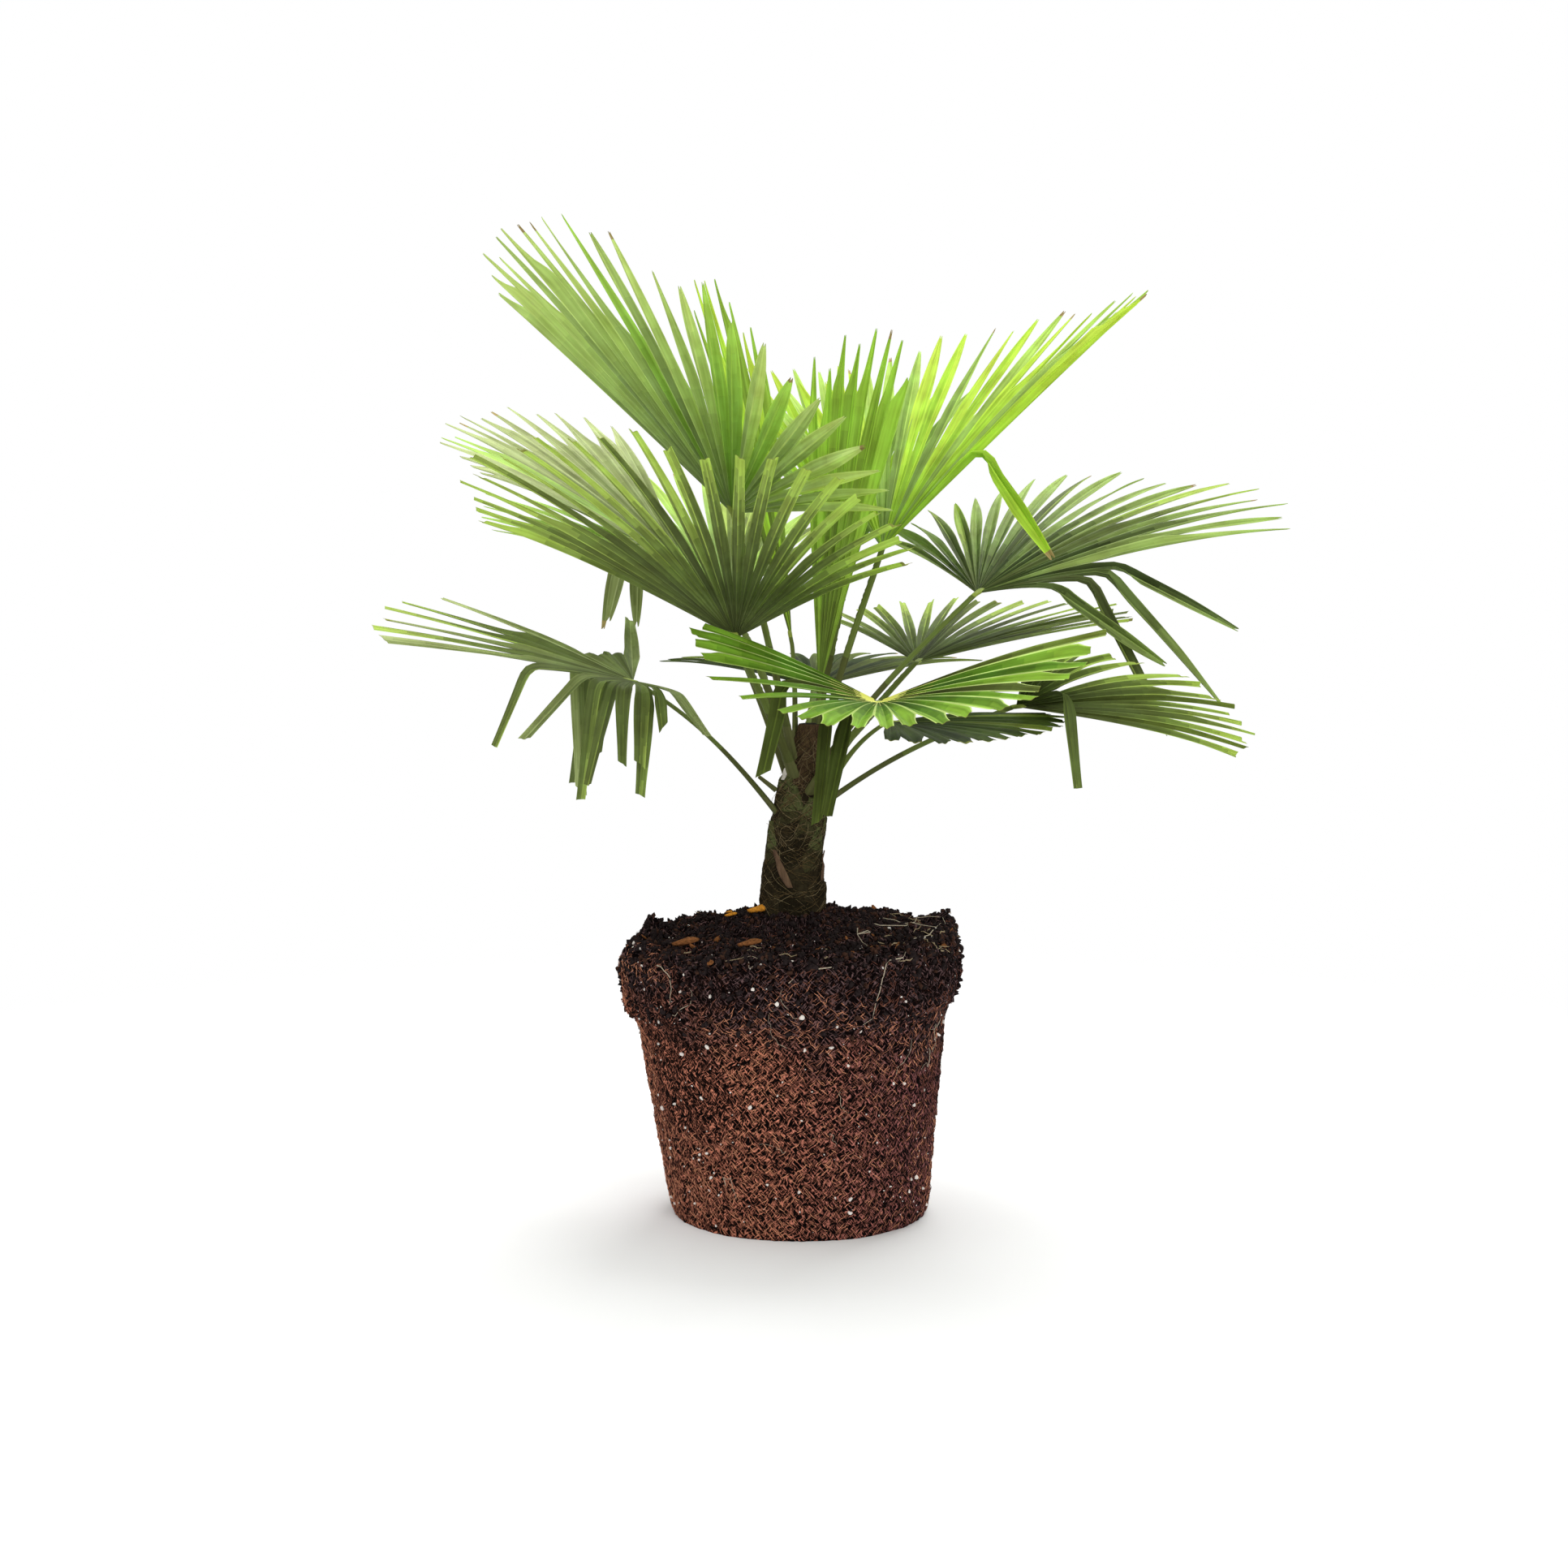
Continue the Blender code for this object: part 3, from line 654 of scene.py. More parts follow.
BALL_BODY = 0.123
ball_faces = grid_faces(BALL_ROWS, BALL_SIDES, True)[:, ::-1]
ball_caps = [cap[::-1] for cap in ring_caps(BALL_ROWS, BALL_SIDES)]
ball_map = wrap_map(BALL_ROWS, BALL_SIDES, ball_faces, ball_caps, 1.0, 1.0)
ball_maps = {"soil_way": ball_map * (2.0 * math.pi * BALL_BODY, ball_marks[-1]), "OFBake": ball_map}
root_ball = piece("soil_ball", ball_points, ball_faces, [soil_look()], maps=ball_maps, caps=ball_caps)
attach(root_ball, "root")
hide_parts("root_ball")
ball_tree = BVHTree.FromPolygons(ball_points.tolist(), ball_faces.tolist())
print("ball faces:", len(root_ball.data.polygons))

# %% [markdown]
# ## What lies on the ball
# Crumbs of soil sit on the crown and hang on at the rim; perlite, a popped white stone that keeps potting
# mix open, shows as white specks all over. Both are small lumps. One rounded lump is knocked out of shape a
# few times, and the copies are turned, stretched and sunk a little into the soil, so that none looks placed.

# %% Make lumps and strew them
LUMP_DENTS = 0.45


def lump(fineness, rough, seed):
    """Make one irregular lump about one unit across."""
    work = bmesh.new()
    bmesh.ops.create_icosphere(work, subdivisions=fineness, radius=0.5)
    points = np.array([vertex.co for vertex in work.verts])
    faces = np.array([[vertex.index for vertex in face.verts] for face in work.faces])
    work.free()
    return points * (1.0 + rough * soft_noise(points, LUMP_DENTS, seed))[:, None], faces


def turns(rng, count):
    """Give random turns as matrices."""
    w, x, y, z = unit(rng.normal(size=(count, 4))).T
    rows = (
        (1 - 2 * (y * y + z * z), 2 * (x * y - w * z), 2 * (x * z + w * y)),
        (2 * (x * y + w * z), 1 - 2 * (x * x + z * z), 2 * (y * z - w * x)),
        (2 * (x * z - w * y), 2 * (y * z + w * x), 1 - 2 * (x * x + y * y)),
    )
    return np.moveaxis(np.array(rows), 2, 0)


def strew(shapes, rng, places, sizes, flat):
    """Copy lumps to places, each turned and stretched its own way."""
    points, faces, start = [], [], 0
    frames = turns(rng, len(places))
    stretch = 1.0 + flat * rng.uniform(-1.0, 1.0, (len(places), 3))
    for number, (shape, corners) in enumerate(shapes):
        chosen = np.arange(number, len(places), len(shapes))
        body = shape[None] * (stretch[chosen] * sizes[chosen, None])[:, None]
        body = np.einsum("nij,nkj->nki", frames[chosen], body) + places[chosen, None]
        faces.append(copied_faces(corners, len(chosen), len(shape)) + start)
        points.append(body.reshape(-1, 3))
        start += body.shape[0] * body.shape[1]
    return np.concatenate(points), np.concatenate(faces)


ball_radius = np.hypot(ball_points[:, 0], ball_points[:, 1])
ball_height = ball_points[:, 2]


def pick(rng, weight, count):
    """Pick points of the ball, each as likely as its weight and its share of the surface."""
    chance = weight * ball_radius
    return rng.choice(len(ball_points), count, p=chance / chance.sum())


print("faces of a coarse and a fine lump:", [len(lump(fineness, 0.5, 0)[1]) for fineness in (1, 3)])

# %% Strew crumbs and clods over the crown and the rim
TRUNK_FOOT = np.array((-0.007, 0.000, 0.000))
TRUNK_ROOM = 0.030
CRUMBS = 4200
CRUMB_SIZE = (0.0013, 0.0044)
CRUMB_SKEW = 0.3
CRUMB_RISE = 0.18
CRUMB_SHAPES = 6
CRUMB_FACES = 20
ON_CROWN = (0.205, 0.235)
ON_RIM = (0.162, 0.176)
RIM_CHANCE = 0.26
CLODS = 54
CLOD_SIZE = (0.005, 0.010)
CLOD_SINK = 0.12
CLOD_SHAPES = 5
CLOD_HEIGHT = (0.205, 0.232)
CLOD_FAR = (0.075, 0.11)

crumb_looks = [
    grown("crumb_black", mottle, tone(38, 31, 31), 0.5, 1.5, 0.95, 0.7, 0.0008),
    grown("crumb_brown", mottle, tone(62, 42, 34), 0.5, 1.5, 0.95, 0.7, 0.0008),
]
rng = np.random.default_rng(11)
bare = np.hypot(ball_points[:, 0] - TRUNK_FOOT[0], ball_points[:, 1]) > TRUNK_ROOM
crumb_chance = smooth_share(*ON_CROWN, ball_height) + RIM_CHANCE * smooth_share(*ON_RIM, ball_height)
chosen = pick(rng, crumb_chance * bare, CRUMBS)
sizes = rng.uniform(*CRUMB_SIZE, CRUMBS) ** (1.0 + CRUMB_SKEW) / np.mean(CRUMB_SIZE) ** CRUMB_SKEW
places = ball_points[chosen] + ball_ways[chosen] * (CRUMB_RISE * sizes)[:, None]
small = strew([lump(1, 0.8, seed) for seed in range(CRUMB_SHAPES)], rng, places, sizes, 0.35)
clod_chance = smooth_share(*CLOD_HEIGHT, ball_height) * smooth_share(*CLOD_FAR, ball_radius)
chosen = pick(rng, clod_chance * bare, CLODS)
sizes = rng.uniform(*CLOD_SIZE, CLODS)
places = ball_points[chosen] - ball_ways[chosen] * (CLOD_SINK * sizes)[:, None]
big = strew([lump(3, 0.55, seed) for seed in range(CLOD_SHAPES)], rng, places, sizes, 0.30)
crumb_points = np.concatenate([small[0], big[0]])
crumb_faces = np.concatenate([small[1], big[1] + len(small[0])])
crumb_kinds = (np.arange(len(crumb_faces)) // CRUMB_FACES) % 5 == 0
crumbs = piece("soil_crumbs", crumb_points, crumb_faces, crumb_looks, crumb_kinds, smooth=False)
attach(crumbs, "root")
print("crumb faces:", len(crumb_faces))

# %% Strew white grains of perlite
GRAINS = 600
GRAIN_SIZE = (0.0009, 0.0034)
GRAIN_SKEW = 3.0
GRAIN_SEEDS = range(20, 24)
FEWER_ABOVE = 0.235
FEWER_SHARE = 0.75
OFF_THE_FOOT = 0.004

rng = np.random.default_rng(12)
grain_look = grown("white_grain", mottle, tone(228, 220, 212), 0.85, 1.05, 0.8, 0.5, 0.0004)
grain_chance = (1.0 - FEWER_SHARE * (ball_height > FEWER_ABOVE)) * (ball_height > OFF_THE_FOOT)
chosen = pick(rng, grain_chance, GRAINS)
sizes = rng.uniform(0.0, 1.0, GRAINS) ** GRAIN_SKEW * (GRAIN_SIZE[1] - GRAIN_SIZE[0]) + GRAIN_SIZE[0]
shapes = [lump(2, 0.45, seed) for seed in GRAIN_SEEDS]
grain_points, grain_faces = strew(shapes, rng, ball_points[chosen], sizes, 0.45)
grain_points[:, 2] = np.maximum(grain_points[:, 2], 0.0)
grains = piece("white_grains", grain_points, grain_faces, [grain_look])
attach(grains, "root")
print("white grains:", GRAINS)

# %% [markdown]
# Peat is chopped moss and fibre, and on the pot's smooth wall the fibres lie pressed flat, criss-cross,
# with dark gaps between. That is what makes the side of the ball look woven. Each fibre is a thin thread
# with four sides, bent a little and pressed on to the ball by looking up the nearest point of its surface.

# %% Spin threads along many paths at once
THREAD_SIDES = 4


def straight(starts, ways, lengths, marks):
    """Give straight paths from starts, with a point at each mark of their lengths."""
    return starts[:, None] + ways[:, None] * (lengths[:, None] * marks)[..., None]


def threads(paths, radii):
    """Make four-sided threads along paths, given as path by point by axis, with a radius at each point."""
    count, length = paths.shape[:2]
    ahead = unit(np.gradient(paths, axis=1))
    across = np.where(np.abs(ahead[..., 2:]) < 0.8, np.array([0.0, 0.0, 1.0]), np.array([1.0, 0.0, 0.0]))
    side = unit(np.cross(ahead, across))
    up = np.cross(side, ahead)
    ring = np.stack([side, up, -side, -up], axis=2)
    points = paths[:, :, None] + ring * radii[:, :, None, None]
    caps = np.array(ring_caps(length, THREAD_SIDES))[:, ::-1]
    faces = np.concatenate([grid_faces(length, THREAD_SIDES, True)[:, ::-1], caps])
    return points.reshape(-1, 3), copied_faces(faces, count, length * THREAD_SIDES)


def pressed(points, rise):
    """Move points on to the ball's surface, raised by a little."""
    rise = np.broadcast_to(rise, points.shape[:-1]).ravel()
    result = np.empty((len(rise), 3))
    for number, point in enumerate(points.reshape(-1, 3)):
        spot, way = ball_tree.find_nearest(Vector(point))[:2]
        result[number] = spot + way * rise[number]
    return result.reshape(points.shape)


pole = straight(np.zeros((1, 3)), np.eye(3)[2:], np.ones(1), np.arange(3.0))
print("faces of a thread of three points:", len(threads(pole, np.ones((1, 3)))[1]))

# %% Press peat fibres on to the ball
FIBRES = 15000
FIBRE_LENGTH = (0.0035, 0.0090)
FIBRE_RADIUS = (0.00014, 0.00034)
FIBRE_MARKS = np.array((-1.0, 0.0, 1.0))
FIBRE_TAPER = np.array((0.6, 1.0, 0.6))
FIBRE_SLANT = (0.80, 0.14)
FIBRE_BEND = 0.18
FIBRE_RISE = (-0.0002, 0.0009)
FIBRES_ABOVE = 0.003
FIBRES_FEWER_ABOVE = 0.22
FEWER_FIBRES = 0.4
PEAT_SHADE = (0.12, 0.72)
DARKER_ABOVE = (0.11, 0.20)
DARKER_BY = 0.68
LIGHT_LEFT = (-0.07, 0.03)
LIGHT_BELOW = (0.14, 0.19)
LIGHTER_BY = 0.26

fibre_looks = [
    grown("peat_dark", mottle, tone(40, 23, 19), 0.6, 1.4, 0.95, 0.3, 0.0003),
    grown("peat_brown", mottle, tone(120, 76, 62), 0.6, 1.4, 0.9, 0.3, 0.0003),
    grown("peat_light", mottle, tone(206, 142, 110), 0.7, 1.3, 0.9, 0.3, 0.0003),
]
rng = np.random.default_rng(13)
fibre_chance = (1.0 - FEWER_FIBRES * (ball_height > FIBRES_FEWER_ABOVE)) * (ball_height > FIBRES_ABOVE)
chosen = pick(rng, fibre_chance, FIBRES)
slant = np.where(rng.random(FIBRES) < 0.5, 1.0, -1.0) * rng.normal(*FIBRE_SLANT, FIBRES)
ways = ball_ways[chosen]
level = unit(np.cross(np.array([0.0, 0.0, 1.0]) + 0.001, ways))
lie = level * np.cos(slant)[:, None] + np.cross(ways, level) * np.sin(slant)[:, None]
half = 0.5 * rng.uniform(*FIBRE_LENGTH, FIBRES)
bend = half * rng.normal(0.0, FIBRE_BEND, FIBRES)
paths = straight(ball_points[chosen], lie, half, FIBRE_MARKS)
paths += np.cross(ways, lie)[:, None] * (bend[:, None] * FIBRE_MARKS ** 2)[..., None]
paths = pressed(paths, rng.uniform(*FIBRE_RISE, paths.shape[:2]))
radii = rng.uniform(*FIBRE_RADIUS, FIBRES)[:, None] * FIBRE_TAPER
height = paths[:, 0, 2] + 0.12 * soft_noise(paths[:, 0], 0.06, 9)
lightness = rng.random(FIBRES) - DARKER_BY * smooth_share(*DARKER_ABOVE, height)
at_left = 1.0 - smooth_share(*LIGHT_LEFT, paths[:, 0, 0])
lightness += LIGHTER_BY * at_left * (1.0 - smooth_share(*LIGHT_BELOW, height))
for number, own in enumerate(np.array_split(np.arange(FIBRES), 2)):
    points, faces = threads(paths[own], radii[own])
    points[:, 2] = np.maximum(points[:, 2], 0.0)
    kinds = np.repeat(np.digitize(lightness[own], PEAT_SHADE), len(faces) // len(own))
    peat = piece(f"peat_fibres_{number + 1}", points, faces, fibre_looks, kinds)
    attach(peat, "root")
print("fibres:", FIBRES)

# %% [markdown]
# A few pale roots have grown along the pot's wall, and bits of bark and straw lie on the crown. They are
# few enough to place one by one where the photograph shows them, with others strewn round the back.

# %% Grow pale roots over the ball
ROOTS = 24
ROOT_POINTS = 12
ROOT_STEP = 0.0046
ROOT_WANDER = 0.55
ROOT_FALL = np.array((0.0, 0.0, -0.6))
ROOT_RADIUS = (0.00018, 0.00036)
SHOWN_RADIUS = 0.00046
ROOT_TAPER = np.linspace(1.0, 0.35, ROOT_POINTS)
ROOT_RISE = 0.0004
SHOWN_RISE = 0.0007
CROWN_RISE = 0.0014
BALL_FRONT = 0.145
OVER_CROWN = 0.262
SHOWN_ROOTS = (
    ((0.082, 0.233), (0.074, 0.227), (0.064, 0.208), (0.062, 0.193), (0.051, 0.172)),
    ((-0.114, 0.220), (-0.104, 0.213), (-0.102, 0.202), (-0.104, 0.190)),
    ((0.014, 0.231), (0.024, 0.230), (0.031, 0.227)),
)
CROWN_ROOTS = (
    ((0.100, -0.048), (0.101, -0.068), (0.097, -0.086), (0.096, -0.098)),
    ((0.046, -0.062), (0.058, -0.068), (0.054, -0.080), (0.048, -0.090)),
    ((0.060, -0.020), (0.078, -0.030), (0.094, -0.022), (0.108, -0.034), (0.116, -0.020)),
    ((0.070, 0.020), (0.086, 0.004), (0.100, 0.010), (0.118, -0.002)),
)


def wandering_roots(rng, count):
    """Let roots wander over the ball's side, mostly down."""
    start = ball_points[pick(rng, smooth_share(0.02, 0.05, ball_height) + 0.6 * (ball_height > 0.2), count)]
    heading = rng.normal(size=(count, 3)) + ROOT_FALL
    paths = [start]
    for _ in range(ROOT_POINTS - 1):
        heading = unit(heading + ROOT_WANDER * rng.normal(size=(count, 3)))
        paths.append(pressed(paths[-1] + heading * ROOT_STEP, ROOT_RISE))
    return np.stack(paths, axis=1)


def spread_knots(knots):
    """Spread a root's points evenly over its few knots."""
    marks = np.linspace(0.0, len(knots) - 1.0, ROOT_POINTS)
    return at_marks(marks, range(len(knots)), knots).T


def shown_root(knots):
    """Lay a root through given places, as distances right and up on the side that is seen."""
    x, z = spread_knots(knots)
    return pressed(np.stack([x, -np.sqrt(np.maximum(BALL_FRONT ** 2 - x * x, 0.0)), z], axis=1), SHOWN_RISE)


def crown_root(knots):
    """Lay a root over the crown through places given as seen from above."""
    x, y = spread_knots(knots)
    return pressed(np.stack([x, y, np.full(ROOT_POINTS, OVER_CROWN)], axis=1), CROWN_RISE)


rng = np.random.default_rng(14)
root_look = grown("pale_root", mottle, tone(186, 173, 152), 0.8, 1.1, 0.7, 0.3, 0.0002)
by_hand = [shown_root(knots) for knots in SHOWN_ROOTS] + [crown_root(knots) for knots in CROWN_ROOTS]
paths = np.concatenate([wandering_roots(rng, ROOTS), by_hand])
thick = np.concatenate([rng.uniform(*ROOT_RADIUS, ROOTS), np.full(len(by_hand), SHOWN_RADIUS)])
root_points, root_faces = threads(paths, thick[:, None] * ROOT_TAPER)
roots = piece("pale_roots", root_points, root_faces, [root_look])
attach(roots, "root")
print("roots:", len(paths))

# %% Drop bark chips on the crown
CHIPS = 30
CHIP_SIZE = (0.004, 0.009)
CHIP_SHAPE = np.array((1.0, 0.55, 0.16))
CHIP_RISE = 0.0012
CROWN_ABOVE = 0.225
OVER_CHIPS = 0.300
SHOWN_CHIP_SHAPE = np.array((1.0, 0.50, 0.26))
SHOWN_CHIP_SLOPE = 0.20
SHOWN_CHIPS = (
    (-0.046, -0.012, 0.018, 1), (-0.062, -0.026, 0.008, 1), (-0.1124, -0.063, 0.017, 0),
    (-0.056, -0.108, 0.015, 0), (-0.082, -0.010, 0.005, 1),
)

rng = np.random.default_rng(15)
chip_looks = [
    grown("bark_chip", mottle, tone(128, 82, 48), 0.5, 1.3, 0.85, 0.6, 0.0005),
    grown("orange_chip", mottle, tone(214, 142, 48), 0.6, 1.25, 0.8, 0.6, 0.0005),
    grown("straw", mottle, tone(168, 150, 120), 0.7, 1.15, 0.8, 0.4, 0.0003),
]
on_crown = (ball_height > CROWN_ABOVE) * bare
spots = ball_points[pick(rng, on_crown, CHIPS)]
chip_sizes = rng.uniform(*CHIP_SIZE, CHIPS)
flake, flake_corners = lump(2, 0.9, 31)
chip_points, chip_faces = strew([(flake * CHIP_SHAPE, flake_corners)], rng, spots, chip_sizes, 0.25)
x, y, shown_sizes, shown_kinds = np.array(SHOWN_CHIPS).T
shown = pressed(np.stack([x, y, np.full(len(x), OVER_CHIPS)], axis=1), CHIP_RISE)
lying = flake * SHOWN_CHIP_SHAPE
lying[:, 2] += SHOWN_CHIP_SLOPE * lying[:, 0]
own = lying[None] * shown_sizes[:, None, None] + shown[:, None]
own_faces = copied_faces(flake_corners, len(shown), len(flake)) + len(chip_points)
chip_kinds = np.repeat(np.concatenate([np.zeros(CHIPS), shown_kinds]), len(flake_corners))
chips = piece(
    "bark_chips", np.concatenate([chip_points, own.reshape(-1, 3)]), np.concatenate([chip_faces, own_faces]),
    chip_looks[:2], chip_kinds, smooth=False
)
print("chips:", CHIPS + len(shown))

# %% Scatter straw on the crown
STRAWS = 70
STRAW_LENGTH = (0.005, 0.016)
STRAW_RADIUS = (0.00022, 0.00048)
STRAW_TAPER = np.array((0.7, 1.0, 1.0, 0.9, 0.5))
STRAW_FLAT = np.array((1.0, 1.0, 0.25))
STRAW_RISE = (0.0012, 0.0016)
STRAW_SIDE = 0.06
STRAW_SIDE_MORE = 8.0
STRAW_FAR = (0.07, 0.12)

straw_chance = on_crown * (1.0 + STRAW_SIDE_MORE * (ball_points[:, 0] > STRAW_SIDE))
starts = ball_points[pick(rng, straw_chance * smooth_share(*STRAW_FAR, ball_radius), STRAWS)]
lie = unit(rng.normal(size=(STRAWS, 3)) * STRAW_FLAT)
marks = np.linspace(0.0, 1.0, len(STRAW_TAPER))
paths = straight(starts, lie, rng.uniform(*STRAW_LENGTH, STRAWS), marks)
paths = pressed(paths, STRAW_RISE[0] + STRAW_RISE[1] * rng.random(paths.shape[:2]))
radii = rng.uniform(*STRAW_RADIUS, STRAWS)[:, None] * STRAW_TAPER
straw_points, straw_faces = threads(paths, radii)
straw = piece("straw_bits", straw_points, straw_faces, [chip_looks[2]])
for made in (chips, straw):
    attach(made, "root")
print("straws:", STRAWS)

# %% [markdown]
# ## The trunk
# A windmill palm's trunk isn't bark at all: it is made of old leaf bases, each clasping the stem like a
# rolled sleeve, with a mat of brown fibre that looks like sacking between them. The bases show as steps,
# broad and thin low down, narrow and thick where the stalk leaves. The trunk is a grid of points round a
# leaning axis. Every base adds its own raised wedge to it, and the highest one shows.

# %% The trunk's axis and its plain radius
SEAT_Z = 0.2475
TRUNK_RINGS = (
    (0.0000, 0.0268), (0.0060, 0.0262), (0.0260, 0.0250), (0.0420, 0.0238), (0.0440, 0.0229),
    (0.0620, 0.0222), (0.0780, 0.0219), (0.0800, 0.0207), (0.0980, 0.0202), (0.1120, 0.0193),
    (0.1140, 0.0176), (0.1280, 0.0160), (0.1430, 0.0138), (0.1560, 0.0110),
)
TRUNK_TALL = TRUNK_RINGS[-1][0]
TRUNK_LEAN = 0.016
TRUNK_LEAN_POWER = 1.7
TRUNK_SKIN = 0.0013
TRUNK_BODY = 0.021
TRUNK_SINK = 0.002
TRUNK_SIDES = 300
TRUNK_ROWS = 236


def trunk_axis(z):
    """Give the trunk's centre at a height, from its foot."""
    share = max(0.0, (z - SEAT_Z) / TRUNK_TALL)
    return Vector((TRUNK_LEAN * share ** TRUNK_LEAN_POWER, 0.0, z))


def trunk_radius(z):
    """Give the trunk's plain radius at heights."""
    heights, radii = zip(*TRUNK_RINGS)
    return np.interp(z - SEAT_Z, heights, radii) - TRUNK_SKIN


print("trunk top at", round(SEAT_Z + TRUNK_TALL, 3))

# %% [markdown]
# The fans' own table comes next, because the leaf bases on the trunk sit where the stalks leave it. Each
# fan has the place of its hub, the way that it looks, its size, and how its leaflets spread, cup, droop
# and fold. The same numbers shaped the plain solids, so the fine fans land on them.

# %% The table of fans
POINTED = 0.20
CUT = 0.78
Fold = namedtuple("Fold", "left right share out length")
Fan = namedtuple("Fan", "name hub root aim reach spread count cup droop shorter skew tip folds")
FANS = (
    Fan("low_left", (-0.127, -0.040, 0.441), (-165, 0.322), (-173, 15, -8),
        0.210, (137, 95), 19, 5, 0.08, 0.10, 0.00, CUT,
        (Fold(137, 125, 0.21, 1.05, 0.042), Fold(125, 113, 0.14, 0.00, 0.022),
         Fold(113, 100, 0.12, -0.30, 0.074), Fold(100, 88, 0.20, -0.30, 0.062),
         Fold(88, 76, 0.28, 0.30, 0.062), Fold(76, 64, 0.22, 1.00, 0.084),
         Fold(64, 52, 0.25, 0.50, 0.078), Fold(52, 39, 0.26, 1.30, 0.070),
         Fold(39, 27, 0.47, 0.75, 0.052), Fold(-46, -58, 0.30, 0.05, 0.088),
         Fold(-58, -71, 0.32, 0.30, 0.140), Fold(-71, -83, 0.37, 0.40, 0.120))),
    Fan("low_right", (0.180, -0.030, 0.420), (-4, 0.330), (-45, 9, -26),
        0.200, (40, 46), 16, 0, 0.22, 0.26, 0.03, CUT, (Fold(-14, -19, 0.33, 0.00, 0.062),)),
    Fan("low_front", (0.078, -0.060, 0.410), (-40, 0.318), (-30, 0, 4),
        0.136, (50, 66), 14, 5, 0.08, 0.10, 0.00, CUT, ()),
    Fan("low_back", (0.020, 0.135, 0.425), (88, 0.330), (88, 8, 0),
        0.220, (56, 56), 17, 10, 0.20, 0.22, 0.00, POINTED, ()),
    Fan("back_right", (0.105, 0.070, 0.450), (38, 0.340), (62, 14, 0),
        0.218, (56, 56), 18, 10, 0.11, 0.14, 0.01, CUT, ()),
    Fan("right", (0.150, 0.000, 0.510), (8, 0.362), (48, 22, 6),
        0.300, (63, 58), 24, 2, 0.20, 0.33, -0.06, POINTED,
        (Fold(-38, -43, 0.41, 2.05, 0.094), Fold(-43, -48, 0.39, 0.95, 0.160),
         Fold(-48, -53, 0.34, 0.50, 0.122), Fold(-53, -58, 0.23, 1.65, 0.124))),
    Fan("left", (-0.090, 0.090, 0.530), (138, 0.350), (170, 35, -10),
        0.230, (66, 48), 19, 22, 0.17, 0.07, -0.01, POINTED, (Fold(66, 46, 0.32, 0.25, 0.075),)),
    Fan("back_left", (-0.055, 0.125, 0.500), (112, 0.356), (118, 28, 0),
        0.260, (58, 58), 19, 10, 0.16, 0.22, 0.00, POINTED, ()),
    Fan("front_left", (-0.044, -0.090, 0.478), (-112, 0.352), (-101, 31, -4),
        0.310, (52, 52), 24, 16, 0.19, 0.37, -0.05, CUT, ()),
    Fan("front_right", (0.066, -0.130, 0.431), (-62, 0.342), (-106, 1, -7),
        0.180, (80, 68), 24, 32, 0.10, 0.08, 0.14, CUT,
        (Fold(-13, -19, 0.19, 0.30, 0.068), Fold(-25, -31, 0.26, 0.05, 0.074),
         Fold(-37, -43, 0.50, 0.45, 0.064))),
    Fan("upper_left", (-0.047, -0.060, 0.575), (-140, 0.366), (-111, 40, -27),
        0.298, (66, 58), 24, 6, 0.02, 0.28, -0.03, POINTED, ()),
    Fan("upper_right", (0.074, 0.020, 0.546), (22, 0.374), (71, 38, -8),
        0.300, (40, 64), 24, 50, 0.03, 0.33, -0.20, POINTED, (Fold(-60, -64, 0.39, 0.80, 0.078),)),
    Fan("upper_back", (0.050, 0.085, 0.545), (64, 0.372), (82, 40, 14),
        0.250, (52, 32), 16, 30, 0.12, 0.20, -0.05, POINTED, ()),
    Fan("young_left", (0.000, 0.020, 0.470), (170, 0.384), (160, 78, 0),
        0.285, (17, 17), 8, 5, 0.05, 0.10, 0.10, POINTED, ()),
    Fan("young_right", (0.022, 0.008, 0.430), (-30, 0.390), (40, 80, 0),
        0.290, (14, 14), 8, 5, 0.05, 0.06, 0.00, POINTED, ()),
)
print("fans:", len(FANS), "leaflets:", sum(fan.count for fan in FANS))

# %% Wrap leaf bases round the trunk
OLD_BASES = (
    (-100, 0.304), (152, 0.300), (35, 0.296), (-28, 0.290), (95, 0.286),
    (-150, 0.280), (-72, 0.272), (10, 0.270), (130, 0.268), (-125, 0.262),
)
BASE_LENGTH = 0.064
BASE_OVER = -0.04
BASE_HALF_ANGLE = (11.0, 78.0)
BASE_WIDENS = 0.8
BASE_THICK = (0.0006, 0.0036)
BASE_THICKENS = 1.3
BASE_EDGE_POWER = 5
BASE_GREEN_TO = 0.96
BASE_WAVE = 0.005
BASE_WAVE_TURNS = 9.0
BASE_WAVE_SHIFT = 60.0


def leaf_bases():
    """List the leaf bases on the trunk as angle, height and how green they are."""
    live = [(*fan.root, 1.0) for fan in FANS if "young" not in fan.name]
    return live + [(angle, z, 0.0) for angle, z in OLD_BASES]


def base_relief(angle, z, base_angle, top):
    """Give one base's thickness over the trunk, and how near to its stalk each point is."""
    down = (top - z) / BASE_LENGTH
    inside = (down > BASE_OVER) & (down < 1.0)
    down = np.clip(down, 0.0, 1.0)
    half = np.radians(BASE_HALF_ANGLE[0] + (BASE_HALF_ANGLE[1] - BASE_HALF_ANGLE[0]) * down ** BASE_WIDENS)
    off = np.abs((angle - math.radians(base_angle) + math.pi) % (2.0 * math.pi) - math.pi) / half
    body = np.clip(1.0 - off ** BASE_EDGE_POWER, 0.0, 1.0)
    thick = BASE_THICK[0] + (BASE_THICK[1] - BASE_THICK[0]) * (1.0 - down) ** BASE_THICKENS
    return np.where(inside, thick * body, 0.0), np.where(inside & (off < BASE_GREEN_TO), 1.0 - down, 0.0)


